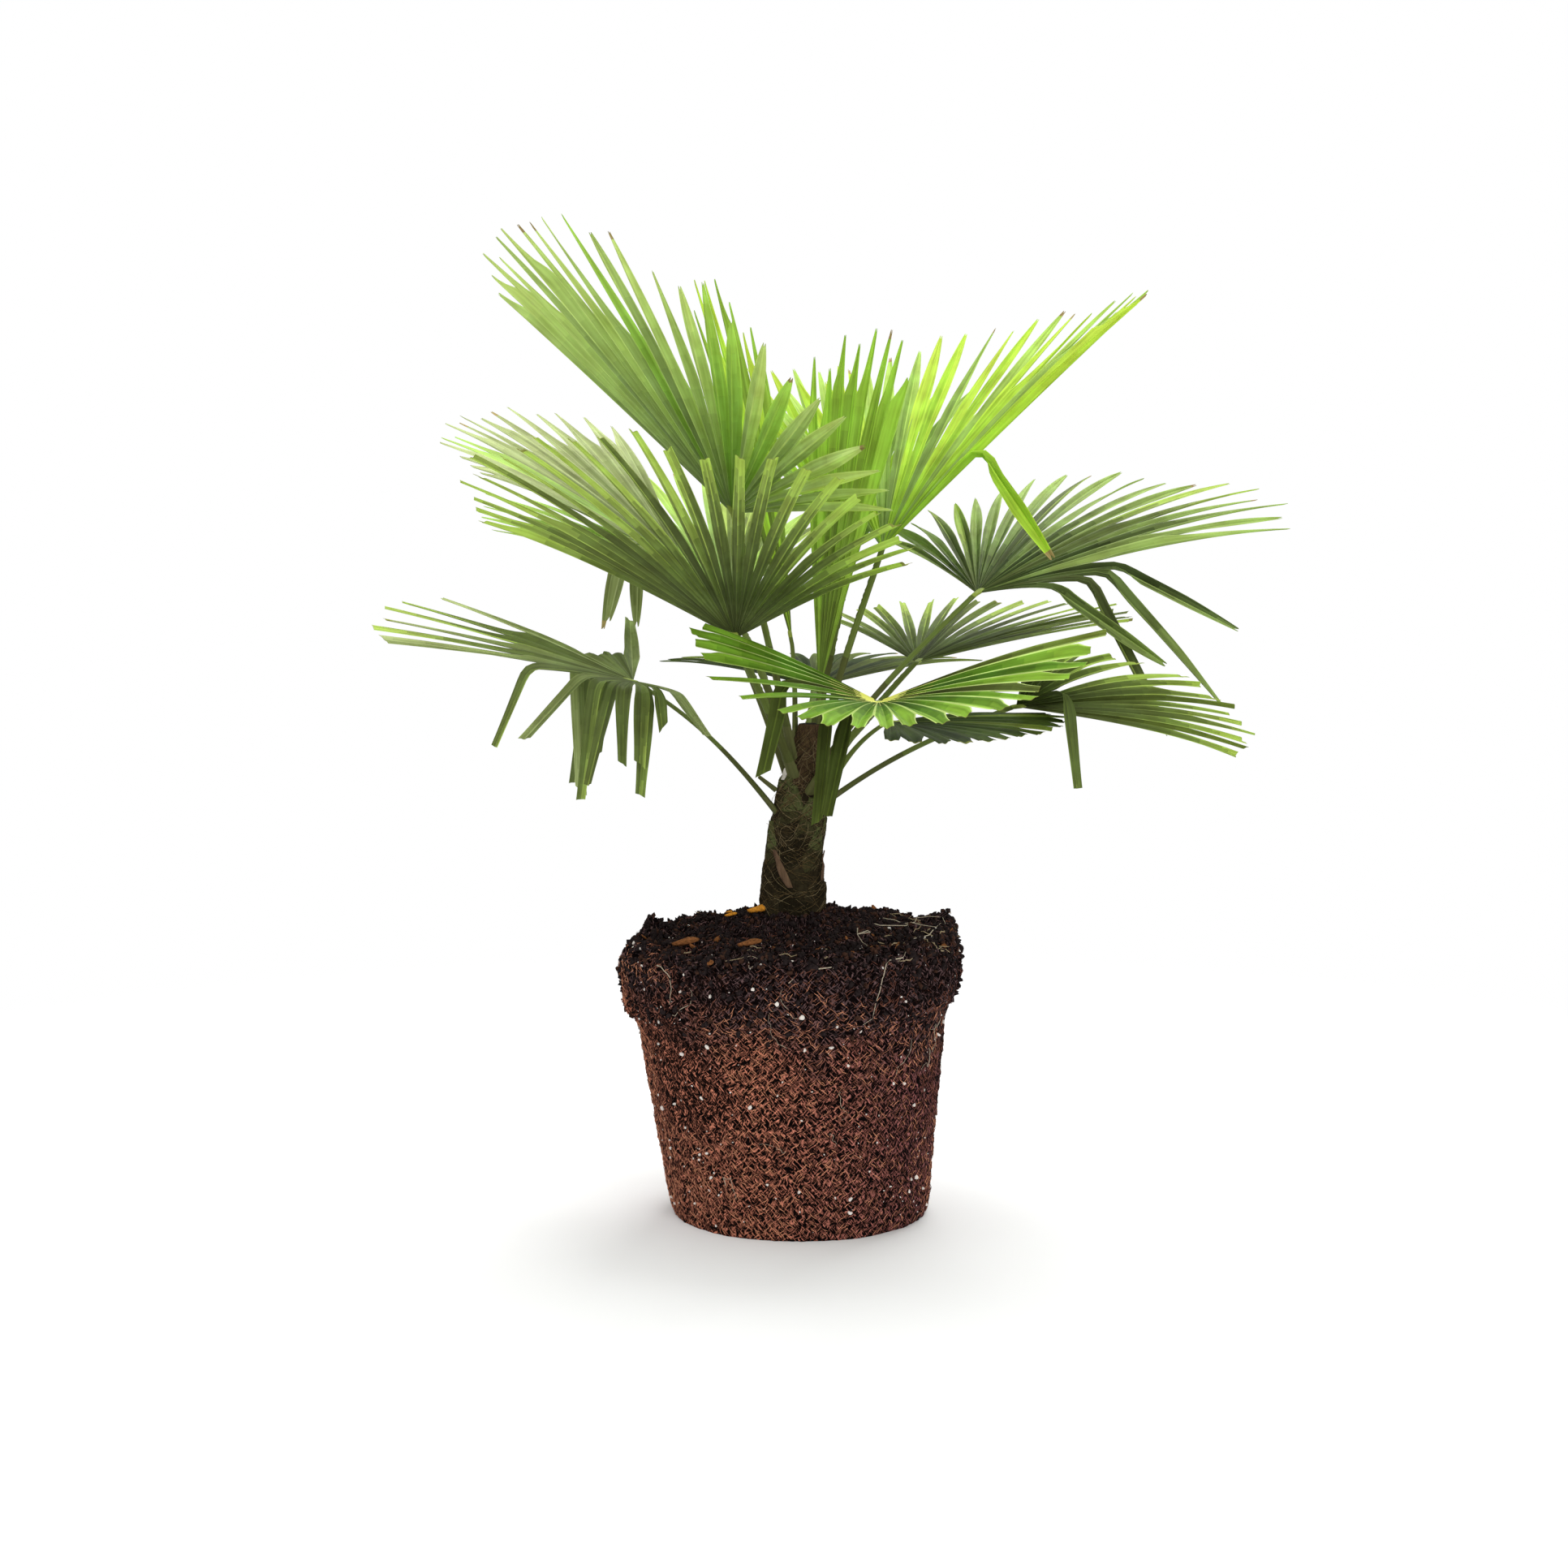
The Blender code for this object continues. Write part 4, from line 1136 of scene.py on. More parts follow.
angle = np.linspace(0.0, 2.0 * math.pi, TRUNK_SIDES, endpoint=False)
z = np.linspace(SEAT_Z - TRUNK_SINK, SEAT_Z + TRUNK_TALL, TRUNK_ROWS)
trunk_z, trunk_angle = (value.ravel() for value in np.meshgrid(z, angle, indexing="ij"))
base_height = np.zeros(len(trunk_z))
base_green = np.zeros(len(trunk_z))
for base_angle, top, green in leaf_bases():
    waved = trunk_angle + BASE_WAVE * np.sin(BASE_WAVE_TURNS * trunk_angle + BASE_WAVE_SHIFT * top)
    height, near = base_relief(waved, trunk_z, base_angle, top)
    wins = height > base_height
    base_height = np.where(wins, height, base_height)
    base_green = np.where(wins, green * near, base_green)
print("leaf bases:", len(leaf_bases()))

# %% Roughen the trunk with fibre
FIBRE_RELIEF = 0.00032
FIBRE_SIZE = 0.0009
FIBRE_STRETCH = np.array((1.0, 9.0, 1.0))
FIBRE_SEED = 41
LUMP_RELIEF = 0.0007
LUMP_SIZE = 0.009
LUMP_ROUND = 0.02

around = np.stack([np.cos(trunk_angle), np.sin(trunk_angle), np.zeros(len(trunk_z))], axis=1)
turn_way = trunk_angle * TRUNK_BODY
weave = [
    soft_noise(
        np.stack([turn_way + side * trunk_z, trunk_z - side * turn_way, turn_way * 0.0], 1) / FIBRE_STRETCH,
        FIBRE_SIZE, FIBRE_SEED + side
    )
    for side in (1, -1)
]
lump_places = around * LUMP_ROUND
lump_places[:, 2] = trunk_z
trunk_out = trunk_radius(trunk_z) + base_height
trunk_out += FIBRE_RELIEF * np.maximum(*weave) + LUMP_RELIEF * soft_noise(lump_places, LUMP_SIZE, 43)
centres = np.array([trunk_axis(value) for value in z])
trunk_centres = np.repeat(centres, TRUNK_SIDES, axis=0) + TRUNK_FOOT
trunk_points = trunk_centres + around * trunk_out[:, None]
print("trunk reaches from", trunk_points.min(axis=0).round(3), "to", trunk_points.max(axis=0).round(3))

# %% Give the trunk its bark and its mesh
RED_FROM = 0.352
DULL_FROM = 0.52
OLIVE_FROM = 0.74
GREEN_PATCHES = 0.10
TRUNK_WRAP = (0.132, 0.158)
BROWN_BARK, DARK_BARK, RED_BARK, OLIVE_BASE, DULL_BASE = range(5)


def bark(name, colour, darkest=0.55, lightest=1.5):
    """Make a fibrous material for the trunk."""
    return grown(name, bark_lines, colour, darkest, lightest, 0.92, 0.8, 0.0006)


trunk_faces = grid_faces(TRUNK_ROWS, TRUNK_SIDES, True)
trunk_caps = ring_caps(TRUNK_ROWS, TRUNK_SIDES)
bark_looks = [
    bark("fibre_brown", tone(46, 40, 27)),
    bark("fibre_dark", tone(33, 29, 19)),
    bark("fibre_red", tone(72, 56, 40)),
    bark("base_olive", tone(82, 87, 52), 0.7, 1.25),
    bark("base_dull", tone(60, 58, 36), 0.65, 1.3),
]
middle = trunk_faces[:, 0]
patch = soft_noise(trunk_points[middle], 0.014, 44)
kinds = np.where(patch > 0.05, DARK_BARK, BROWN_BARK)
kinds[trunk_z[middle] > RED_FROM + 0.006 * patch] = RED_BARK
kinds[base_green[middle] > DULL_FROM + GREEN_PATCHES * patch] = DULL_BASE
kinds[base_green[middle] > OLIVE_FROM + GREEN_PATCHES * patch] = OLIVE_BASE
kinds = np.append(kinds, [DARK_BARK] * 2)
trunk_map = wrap_map(TRUNK_ROWS, TRUNK_SIDES, trunk_faces, trunk_caps, *TRUNK_WRAP)
trunk_maps = {"bark_way": trunk_map, "OFBake": trunk_map / TRUNK_WRAP}
trunk = piece("fibrous_trunk", trunk_points, trunk_faces, bark_looks, kinds, trunk_maps, caps=trunk_caps)
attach(trunk, "root")
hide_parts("trunk")
print("trunk faces:", len(trunk.data.polygons))

# %% [markdown]
# The mat's threads run round the trunk on two slants, like sacking, and stand a hair's breadth off it.
# Where the mat has frayed, single pale threads curl away in loops. Both follow the trunk's own surface.

# %% Spin the fibre mat
MAT_THREADS = 1150
MAT_POINTS = 9
MAT_RADIUS = (0.00010, 0.00026)
MAT_LENGTH = (0.012, 0.042)
MAT_FOOT = SEAT_Z + 0.002
MAT_TOP = SEAT_Z + 0.150
MAT_LIMIT = SEAT_Z + 0.155
MAT_SLANT = (0.62, 0.22)
MAT_WOBBLE = 0.0009
MAT_RISE = 0.00018
MAT_SHARES = (0.52, 0.36, 0.12)


def on_trunk(angle, z, rise):
    """Give points on the trunk's surface, raised by a little."""
    column = np.round(angle / (2.0 * math.pi) * TRUNK_SIDES).astype(int) % TRUNK_SIDES
    row = np.round((z - SEAT_Z + TRUNK_SINK) / (TRUNK_TALL + TRUNK_SINK) * (TRUNK_ROWS - 1))
    spot = np.clip(row, 0, TRUNK_ROWS - 1).astype(int) * TRUNK_SIDES + column
    out = np.stack([np.cos(angle), np.sin(angle), np.zeros_like(angle)], axis=-1)
    place = trunk_centres[spot] + out * (trunk_out[spot] + rise)[..., None]
    place[..., 2] = z
    return place


rng = np.random.default_rng(21)
thread_looks = [
    grown("thread_dark", mottle, tone(44, 36, 24), 0.7, 1.3, 0.9, 0.2, 0.0002),
    grown("thread_brown", mottle, tone(92, 76, 50), 0.7, 1.3, 0.85, 0.2, 0.0002),
    grown("thread_pale", mottle, tone(122, 108, 80), 0.8, 1.2, 0.8, 0.2, 0.0002),
]
marks = np.linspace(-0.5, 0.5, MAT_POINTS)
start_z = rng.uniform(MAT_FOOT, MAT_TOP, MAT_THREADS)[:, None]
slant = np.where(rng.random(MAT_THREADS) < 0.5, 1.0, -1.0) * rng.normal(*MAT_SLANT, MAT_THREADS)
long = rng.uniform(*MAT_LENGTH, MAT_THREADS)
turned = rng.uniform(0.0, 2.0 * math.pi, MAT_THREADS)[:, None]
turned = turned + (long * np.cos(slant) / TRUNK_BODY)[:, None] * marks
wobble = rng.normal(0.0, MAT_WOBBLE, (MAT_THREADS, 1)) * np.cos(2.0 * math.pi * marks)
level = np.clip(start_z + (long * np.sin(slant))[:, None] * marks + wobble, SEAT_Z, MAT_LIMIT)
paths = on_trunk(turned, level, MAT_RISE)
radii = rng.uniform(*MAT_RADIUS, MAT_THREADS)[:, None] * np.sin(math.pi * (0.08 + 0.84 * (marks + 0.5)))
mat_points, mat_faces = threads(paths, radii)
mat_kinds = np.repeat(rng.choice(3, MAT_THREADS, p=MAT_SHARES), len(mat_faces) // MAT_THREADS)
mat = piece("fibre_mat", mat_points, mat_faces, thread_looks, mat_kinds)
print("threads in the mat:", MAT_THREADS)

# %% Fray it into curls
CURLS = 90
CURL_POINTS = 12
CURL_LENGTH = (0.010, 0.028)
CURL_RADIUS = (0.00012, 0.00022)
CURL_HEIGHT = (0.335, 0.026)
CURL_STARTS = (0.262, 0.385)
CURL_LIMITS = (0.250, 0.400)
CURL_SWIRL = 2.6
CURL_RISE = (0.0008, 0.0046)
CURL_LEAST_RISE = 0.0002
IN_FRONT = -0.5 * math.pi
FRONT_SPREAD = 0.55

marks = np.linspace(0.0, 1.0, CURL_POINTS)
start_z = np.clip(rng.normal(*CURL_HEIGHT, CURLS), *CURL_STARTS)[:, None]
start = rng.uniform(0.0, 2.0 * math.pi, CURLS)
start[:CURLS // 2] = rng.normal(IN_FRONT, FRONT_SPREAD, CURLS // 2)
steps = rng.uniform(*CURL_LENGTH, CURLS)[:, None] / CURL_POINTS
swirl = rng.normal(0.0, CURL_SWIRL, CURLS)[:, None] * marks
bearing = rng.uniform(0.0, 2.0 * math.pi, CURLS)[:, None] + swirl
turned = start[:, None] + np.cumsum(np.cos(bearing) * steps, axis=1) / TRUNK_BODY
level = np.clip(start_z + np.cumsum(np.sin(bearing) * steps, axis=1), *CURL_LIMITS)
rise = rng.uniform(*CURL_RISE, CURLS)[:, None] * np.sin(math.pi * marks) ** 0.8
paths = on_trunk(turned, level, rise + CURL_LEAST_RISE)
paths[:, 1:-1] = 0.25 * paths[:, :-2] + 0.5 * paths[:, 1:-1] + 0.25 * paths[:, 2:]
radii = rng.uniform(*CURL_RADIUS, CURLS)[:, None] * (1.0 - 0.7 * marks)
curl_points, curl_faces = threads(paths, radii)
curls = piece("fibre_curls", curl_points, curl_faces, [thread_looks[2]])
for made in (mat, curls):
    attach(made, "root")
print("curls:", CURLS)

# %% [markdown]
# A few scraps make the trunk a particular one: a split strip of pale sheath low on the left, a whitish
# flake higher up, and the stub of a stalk that was cut off. Each scrap is a small tongue of leaf base that
# follows the trunk and curls away at its end; the stub is a short tube with a cut end.

# %% Lay scraps of sheath on the trunk
Scrap = namedtuple("Scrap", "angle foot top wide lift lean")
SCRAPS = (
    Scrap(-115, 0.272, 0.302, 0.0031, 0.0012, -40), Scrap(-142, 0.359, 0.375, 0.0028, 0.0036, -4),
    Scrap(-52, 0.330, 0.343, 0.0020, 0.0030, 10), Scrap(60, 0.290, 0.318, 0.0036, 0.0016, 8),
    Scrap(140, 0.310, 0.330, 0.0030, 0.0022, -10), Scrap(-20, 0.276, 0.300, 0.0028, 0.0014, 12),
)
FLAKE = 1
SCRAP_ROWS = 12
SCRAP_COLUMNS = 7
SCRAP_RISE = 0.0004
SCRAP_ARCH = 0.0005
SCRAP_THICK = 0.0006


def scrap_points(scrap):
    """Loft one scrap from its foot to its curling end."""
    places = (np.linspace(0.0, 1.0, SCRAP_ROWS), np.linspace(-1.0, 1.0, SCRAP_COLUMNS))
    share, across = np.meshgrid(*places, indexing="ij")
    wide = scrap.wide * np.sin(math.pi * (0.16 + 0.76 * share)) ** 0.7
    turned = math.radians(scrap.angle) + np.radians(scrap.lean) * (share - 0.5) + across * wide / TRUNK_BODY
    level = scrap.foot + (scrap.top - scrap.foot) * share
    rise = SCRAP_RISE + scrap.lift * share ** 3 + SCRAP_ARCH * (1.0 - across ** 2)
    return on_trunk(turned, level, rise).reshape(-1, 3)


sheath_looks = [
    bark("sheath_scrap", tone(104, 82, 64), 0.50, 1.40),
    bark("sheath_flake", tone(196, 190, 180), 0.80, 1.15),
]
scrap_mesh = np.concatenate([scrap_points(scrap) for scrap in SCRAPS])
corners = grid_faces(SCRAP_ROWS, SCRAP_COLUMNS, False)
scrap_faces = copied_faces(corners, len(SCRAPS), SCRAP_ROWS * SCRAP_COLUMNS)
x, y, z = scrap_mesh[scrap_faces.ravel()].T
scrap_maps = {"bark_way": np.stack([x + y, z], axis=1)}
scrap_kinds = np.repeat(np.arange(len(SCRAPS)) == FLAKE, len(corners))
scraps = piece("sheath_scraps", scrap_mesh, scrap_faces, sheath_looks, scrap_kinds, scrap_maps)
scraps.modifiers.new("Thickness", "SOLIDIFY").thickness = SCRAP_THICK
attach(scraps, "root")
print("scraps:", len(SCRAPS))

# %% [markdown]
# ## The stalks
# Each fan sits on its own stalk, flat on top, rounded below and edged with very small teeth. It leaves
# the trunk from its leaf base, arches up and out, and comes into the fan along the fan's middle line. A
# bevelled curve would give a round tube. Here a flattened ring is carried along the same curve, wide at the
# base, narrow in the middle, and widening again into the hub that holds the leaflets.

# %% Work out a stalk's curve
STALK_RISE = 0.42
STALK_RUN_IN = 0.36
STALK_LIFT = 0.22
STALK_BEND_IN = 0.70
STALK_TIP_LENGTH = 0.008
STALK_TIP_REACH = 0.0049
STALK_OFFSET = 0.009
STALK_STEPS = 96
HUB_FROM = 0.0015
HUB_LENGTH = 0.0125
HUB_STEPS = 8


def fan_frame(fan):
    """Give a fan's forward, left and upper directions."""
    compass, climb, roll = (math.radians(angle) for angle in fan.aim)
    level = math.cos(climb)
    forward = Vector((level * math.cos(compass), level * math.sin(compass), math.sin(climb)))
    across = Vector((-math.sin(compass), math.cos(compass), 0.0))
    left = across * math.cos(roll) + forward.cross(across) * math.sin(roll)
    return forward, left, forward.cross(left)


def hub_of(fan):
    """Give the point that a fan's leaflets spread from."""
    return Vector(TRUNK_FOOT) + Vector(fan.hub)


def stalk_knots(fan):
    """Give the four knots of a stalk's curve, from the trunk to just under the hub."""
    compass, height = math.radians(fan.root[0]), fan.root[1]
    forward = fan_frame(fan)[0]
    start = trunk_axis(height) + Vector((math.cos(compass), math.sin(compass), 0.0)) * STALK_OFFSET
    end = Vector(fan.hub) + forward * (STALK_TIP_REACH - STALK_TIP_LENGTH)
    span = (end - start).length
    chord = (end - start).normalized()
    leave = (chord + Vector((0.0, 0.0, STALK_LIFT))).normalized()
    arrive = (chord + forward * STALK_BEND_IN).normalized()
    return start, start + leave * span * STALK_RISE, end - arrive * span * STALK_RUN_IN, end


def stalk_path(fan):
    """Follow the stalk's curve, and go on along the fan's middle to the end of the hub."""
    knots = np.array([tuple(knot) for knot in stalk_knots(fan)])
    share = np.linspace(0.0, 1.0, STALK_STEPS)[:, None]
    rest = 1.0 - share
    curve = rest ** 3 * knots[0] + 3 * rest * rest * share * knots[1]
    curve = curve + 3 * rest * share * share * knots[2] + share ** 3 * knots[3]
    hub = knots[3] + np.linspace(HUB_FROM, HUB_LENGTH, HUB_STEPS)[:, None] * np.array(fan_frame(fan)[0])
    return np.concatenate([curve, hub]) + TRUNK_FOOT


print("longest stalk:", max(far_along(stalk_path(fan))[-1] for fan in FANS).round(3))

# %% Sweep the stalks
STALK_SIDES = 14
STALK_WIDE = (
    (0.0, 0.0062), (0.10, 0.0053), (0.22, 0.0041), (0.60, 0.0032), (0.94, 0.0026), (0.975, 0.0034),
    (1.0, 0.0030),
)
STALK_THICK = ((0.0, 0.0040), (0.12, 0.0034), (0.30, 0.0029), (0.94, 0.0021), (0.98, 0.0020), (1.0, 0.0009))
STALK_WRAP = 0.018
STALK_ZONES = (0.16, 0.45, 0.93)
TOP_FLAT = 0.42
TOOTH = 0.00055
TOOTH_GAPS = 0.62
TOOTHED = (0.12, 0.92)

stalk_looks = [
    grown("stalk_base", leaf_lines, tone(88, 90, 54), 0.7, 1.3, 0.6, 0.4, 0.0004),
    grown("stalk_low", leaf_lines, tone(78, 84, 44), 0.75, 1.25, 0.5, 0.4, 0.0004),
    grown("stalk_green", leaf_lines, tone(92, 106, 50), 0.8, 1.2, 0.45, 0.4, 0.0004),
    grown("stalk_top", leaf_lines, tone(134, 150, 66), 0.85, 1.15, 0.45, 0.3, 0.0004),
]


def stalk_piece(fan):
    """Sweep a fan's stalk."""
    path = stalk_path(fan)
    far = far_along(path)
    share = far / far[-1]
    compass = math.radians(fan.root[0])
    start_side = np.array([-math.sin(compass), math.cos(compass), 0.0])
    side = start_side * (1.0 - share[:, None]) + np.array(fan_frame(fan)[1]) * share[:, None]
    side, up = square_to(unit(np.gradient(path, axis=0)), side)
    wide, thick = (np.interp(share, *zip(*knots)) for knots in (STALK_WIDE, STALK_THICK))
    turn = np.linspace(0.0, 2.0 * math.pi, STALK_SIDES, endpoint=False)
    tall = np.where(np.sin(turn) > 0.0, TOP_FLAT, 1.0) * np.sin(turn)
    rng = np.random.default_rng(sum(map(ord, fan.name)))
    tooth = TOOTH * (rng.random((len(path), STALK_SIDES)) > TOOTH_GAPS) * (np.abs(np.cos(turn)) > 0.99)
    tooth = tooth * ((share > TOOTHED[0]) & (share < TOOTHED[1]))[:, None]
    spread = (wide[:, None] + tooth) * np.cos(turn)
    points = path[:, None] + side[:, None] * spread[..., None]
    points = points + up[:, None] * (thick[:, None] * tall)[..., None]
    faces = grid_faces(len(path), STALK_SIDES, True)
    caps = ring_caps(len(path), STALK_SIDES)
    kinds = np.append(np.digitize(share[faces[:, 0] // STALK_SIDES], STALK_ZONES), [0, len(STALK_ZONES)])
    way = wrap_map(len(path), STALK_SIDES, faces, caps, STALK_WRAP, far[-1])
    maps = {"leaf_way": way, "OFBake": way / (STALK_WRAP, far[-1])}
    made = piece("stem_" + fan.name, points.reshape(-1, 3), faces, stalk_looks, kinds, maps, caps=caps)
    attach(made, "root")
    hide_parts("stalk_" + fan.name)
    return made


stems = [stalk_piece(fan) for fan in FANS]
print("stalks:", len(stems), "faces:", sum(len(stem.data.polygons) for stem in stems))

# %% Leave the stub of a stalk that was cut off
STUB_FROM = (-0.020, -0.010, 0.350)
STUB_TO = (-0.034, -0.014, 0.3615)
STUB_POINTS = 5
STUB_RADIUS = (0.0022, 0.0015)

stub_path = np.linspace(STUB_FROM, STUB_TO, STUB_POINTS)[None]
stub_points, stub_faces = threads(stub_path, np.linspace(*STUB_RADIUS, STUB_POINTS)[None])
stub_kinds = np.arange(len(stub_faces)) == len(stub_faces) - 1
stub_maps = {"leaf_way": stub_points[stub_faces.ravel()][:, (1, 2)]}
stub = piece("cut_stub", stub_points, stub_faces, [stalk_looks[0], cut_look], stub_kinds, stub_maps)
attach(stub, "root")
print("stub reaches", stub_points.min(axis=0).round(3))

# %% [markdown]
# ## The fans
# A fan leaf starts as one pleated sheet. Part of the way out it splits along its upper folds into leaflets,
# each folded along its own rib like a half-open book. The plain solids already hold each leaflet's course:
# where its rib runs, and where it swings aside or stops to miss another fan. The same rule is followed here
# against the same solids, so that every fine leaflet runs where its plain one does.

# %% How each leaflet leaves the hub, and how long it is
UNEVEN_LENGTH = 0.05
UNEVEN_ANGLE = 0.16


def direction(fan, angle):
    """Give the way that a leaflet leaves the hub, with the fan's sides cupped up."""
    forward, left, upper = fan_frame(fan)
    turn = math.radians(angle)
    lift = math.radians(fan.cup) * (1.0 - math.cos(turn))
    flat = forward * math.cos(turn) + left * math.sin(turn)
    return flat * math.cos(lift) + upper * math.sin(lift)


def uneven(fan, index, kind):
    """Give a number between -1 and 1 that stays the same for one leaflet of one fan."""
    return random.Random(f"{fan.name} {index} {kind}").uniform(-1.0, 1.0)


def leaflet_angle(fan, index):
    """Give a leaflet's angle to the left of the fan's middle."""
    step = sum(fan.spread) / fan.count
    return fan.spread[0] - step * (index + 0.5 + UNEVEN_ANGLE * uneven(fan, index, "angle"))


def leaflet_length(fan, index):
    """Give a leaflet's length, shorter towards the fan's sides."""
    out = leaflet_angle(fan, index) / max(fan.spread)
    length = fan.reach * (1.0 - fan.shorter * out * out + fan.skew * out)
    return length * (1.0 + UNEVEN_LENGTH * uneven(fan, index, "length"))


leaflet_lengths = [leaflet_length(fan, index) for fan in FANS for index in range(fan.count)]
print("leaflet lengths from", round(min(leaflet_lengths), 3), "to", round(max(leaflet_lengths), 3))

# %% Where each leaflet runs, before anything is in its way
UNEVEN_HANG = 0.25
LINE_STEPS = 20
FOLD_TURNS = (0.35, 0.75)
FOLD_STEP = 0.006
HANG_STEPS = 6


def fold_of(fan, index):
    """Find the fold that a leaflet has, if any."""
    angle = leaflet_angle(fan, index)
    return next((fold for fold in fan.folds if fold.right <= angle <= fold.left), None)


def hanging_line(start, way, fold, stretch, sway):
    """Carry a folded leaflet on from its fold, out a little and down."""
    level = Vector((way.x, way.y, 0.0)).normalized()
    out = fold.out + UNEVEN_HANG * sway
    down = (level * out + Vector((0.0, 0.0, -1.0))).normalized()
    turned = [(way * (1.0 - share) + down * share).normalized() for share in FOLD_TURNS]
    points = [start + turned[0] * FOLD_STEP]
    points.append(points[-1] + turned[1] * FOLD_STEP)
    length = fold.length * (1.0 + UNEVEN_HANG * stretch)
    for step in range(1, HANG_STEPS + 1):
        points.append(points[1] + down * length * step / HANG_STEPS)
    return points


def leaflet_line(fan, index, swing):
    """Follow a leaflet's rib from the hub to its tip, swung up or down as asked."""
    fold = fold_of(fan, index)
    way = direction(fan, leaflet_angle(fan, index))
    bend = Vector((0.0, 0.0, -fan.droop)) + fan_frame(fan)[2] * swing
    reach = leaflet_length(fan, index)
    if fold:
        reach = reach * fold.share
    line = [hub_of(fan)]
    for step in range(LINE_STEPS):
        share = (step + 0.5) / LINE_STEPS
        heading = (way + bend * share * share).normalized()
        line.append(line[-1] + heading * reach / LINE_STEPS)
    if fold:
        stretch, sway = (uneven(fan, index, kind) for kind in ("hang", "sway"))
        line += hanging_line(line[-1], way, fold, stretch, sway)
    return line


print("first leaflet ends at", [round(value, 3) for value in leaflet_line(FANS[0], 7, 0.0)[-1]])

# %% The space that a plain leaflet needs
BLADE_THICKNESS = 0.0032
WIDEST_LEAFLET = 0.0118
LEAFLET_FILL = 0.80
TAPER_FROM = 0.55
CLEARANCE = 0.0009
SLEEVE_CORNERS = ((1, 1), (1, -1), (-1, -1), (-1, 1))


def fan_step(fan):
    """Give the angle between two ribs."""
    return math.radians(sum(fan.spread) / fan.count)


def lengths_along(line):
    """Give the distance from the hub at each point of a rib."""
    total = [0.0]
    for first, second in zip(line, line[1:]):
        total.append(total[-1] + (second - first).length)
    return total


def plain_half_width(fan, far, length):
    """Give half the plain leaflet's width at a distance from the hub."""
    full = min(far * fan_step(fan) * LEAFLET_FILL, WIDEST_LEAFLET)
    share = (far / length - TAPER_FROM) / (1.0 - TAPER_FROM)
    return 0.5 * full * (1.0 - (1.0 - fan.tip) * max(0.0, share))


def leaflet_side(fan, index):
    """Give the way across a leaflet."""
    angle = leaflet_angle(fan, index)
    return (direction(fan, angle + 1.0) - direction(fan, angle - 1.0)).normalized()


def sleeve(fan, index, line):
    """Give the faces of the space that a plain leaflet needs, four for each step of its rib."""
    side = leaflet_side(fan, index)
    far = lengths_along(line)
    thick = 0.5 * BLADE_THICKNESS + CLEARANCE
    points = []
    for number, point in enumerate(line):
        ahead = line[min(number + 1, len(line) - 1)] - line[max(number - 1, 0)]
        up = ahead.cross(side).normalized()
        wide = plain_half_width(fan, far[number], far[-1]) + CLEARANCE
        points.extend(point + side * wide * a + up * thick * b for a, b in SLEEVE_CORNERS)
    return points, grid_faces(len(line), len(SLEEVE_CORNERS), True).tolist()


print("faces of a sleeve:", len(sleeve(FANS[0], 7, leaflet_line(FANS[0], 7, 0.0))[1]))

# %% Swing or stop a leaflet where something is in its way
CHECKED_FROM = 0.17
SHORTEST_SHARE = 0.40
SWINGS = (0.0, 0.10, -0.10, 0.20, -0.20, 0.32, -0.32, 0.46, -0.46)


def clear_steps(fan, index, line, obstacles):
    """Count the steps of a rib that run clear of the solids placed before it."""
    points, faces = sleeve(fan, index, line)
    skip = math.ceil(CHECKED_FROM * LINE_STEPS)
    tree = BVHTree.FromPolygons(points, faces[4 * skip:])
    hits = [skip + pair[0] // 4 for pair in tree.overlap(obstacles)]
    return min(hits + [len(line) - 1])


def placed_line(fan, index, obstacles):
    """Choose the swing that leaves a leaflet longest, and end it where it would touch something."""
    best = []
    for swing in SWINGS:
        line = leaflet_line(fan, index, swing)
        steps = clear_steps(fan, index, line, obstacles)
        if steps == len(line) - 1:
            return line
        if steps > len(best):
            best = line[:steps]
    past_fold = len(best) - LINE_STEPS - 1
    if 0 < past_fold <= len(FOLD_TURNS) + 1:
        best = best[:LINE_STEPS + 1]
    share = len(best) / (LINE_STEPS + 1)
    return best if share > SHORTEST_SHARE else []


def solids_before(fan):
    """Gather the plain solids that were there before a fan: ball, trunk, stalks and earlier blades."""
    names = ["root_ball", "trunk"] + ["stalk_" + other.name for other in FANS]
    names += ["blade_" + other.name for other in FANS[:FANS.index(fan)]]
    points, faces = [], []
    for name in names:
        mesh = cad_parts[name].data
        start = len(points)
        points.extend(vertex.co.copy() for vertex in mesh.vertices)
        faces.extend([start + corner for corner in face.vertices] for face in mesh.polygons)
    return BVHTree.FromPolygons(points, faces)


ribs = {}
for fan in FANS:
    solids = solids_before(fan)
    ribs[fan.name] = [placed_line(fan, index, solids) for index in range(fan.count)]
print("leaflets left out:", sum(not line for lines in ribs.values() for line in lines))

# %% [markdown]
# Each fan also has looks that the plain solid can't hold: how far out its sheet stays joined, how deep it is
# pleated, how much its leaflets twist, and which families of colours it belongs to. A leaflet is then a row
# of thin rings. Its edges follow the folds that it shares with its neighbours for as long as they are
# joined, and run to its own tip after that, which is forked when it grew and blunt when it was trimmed.

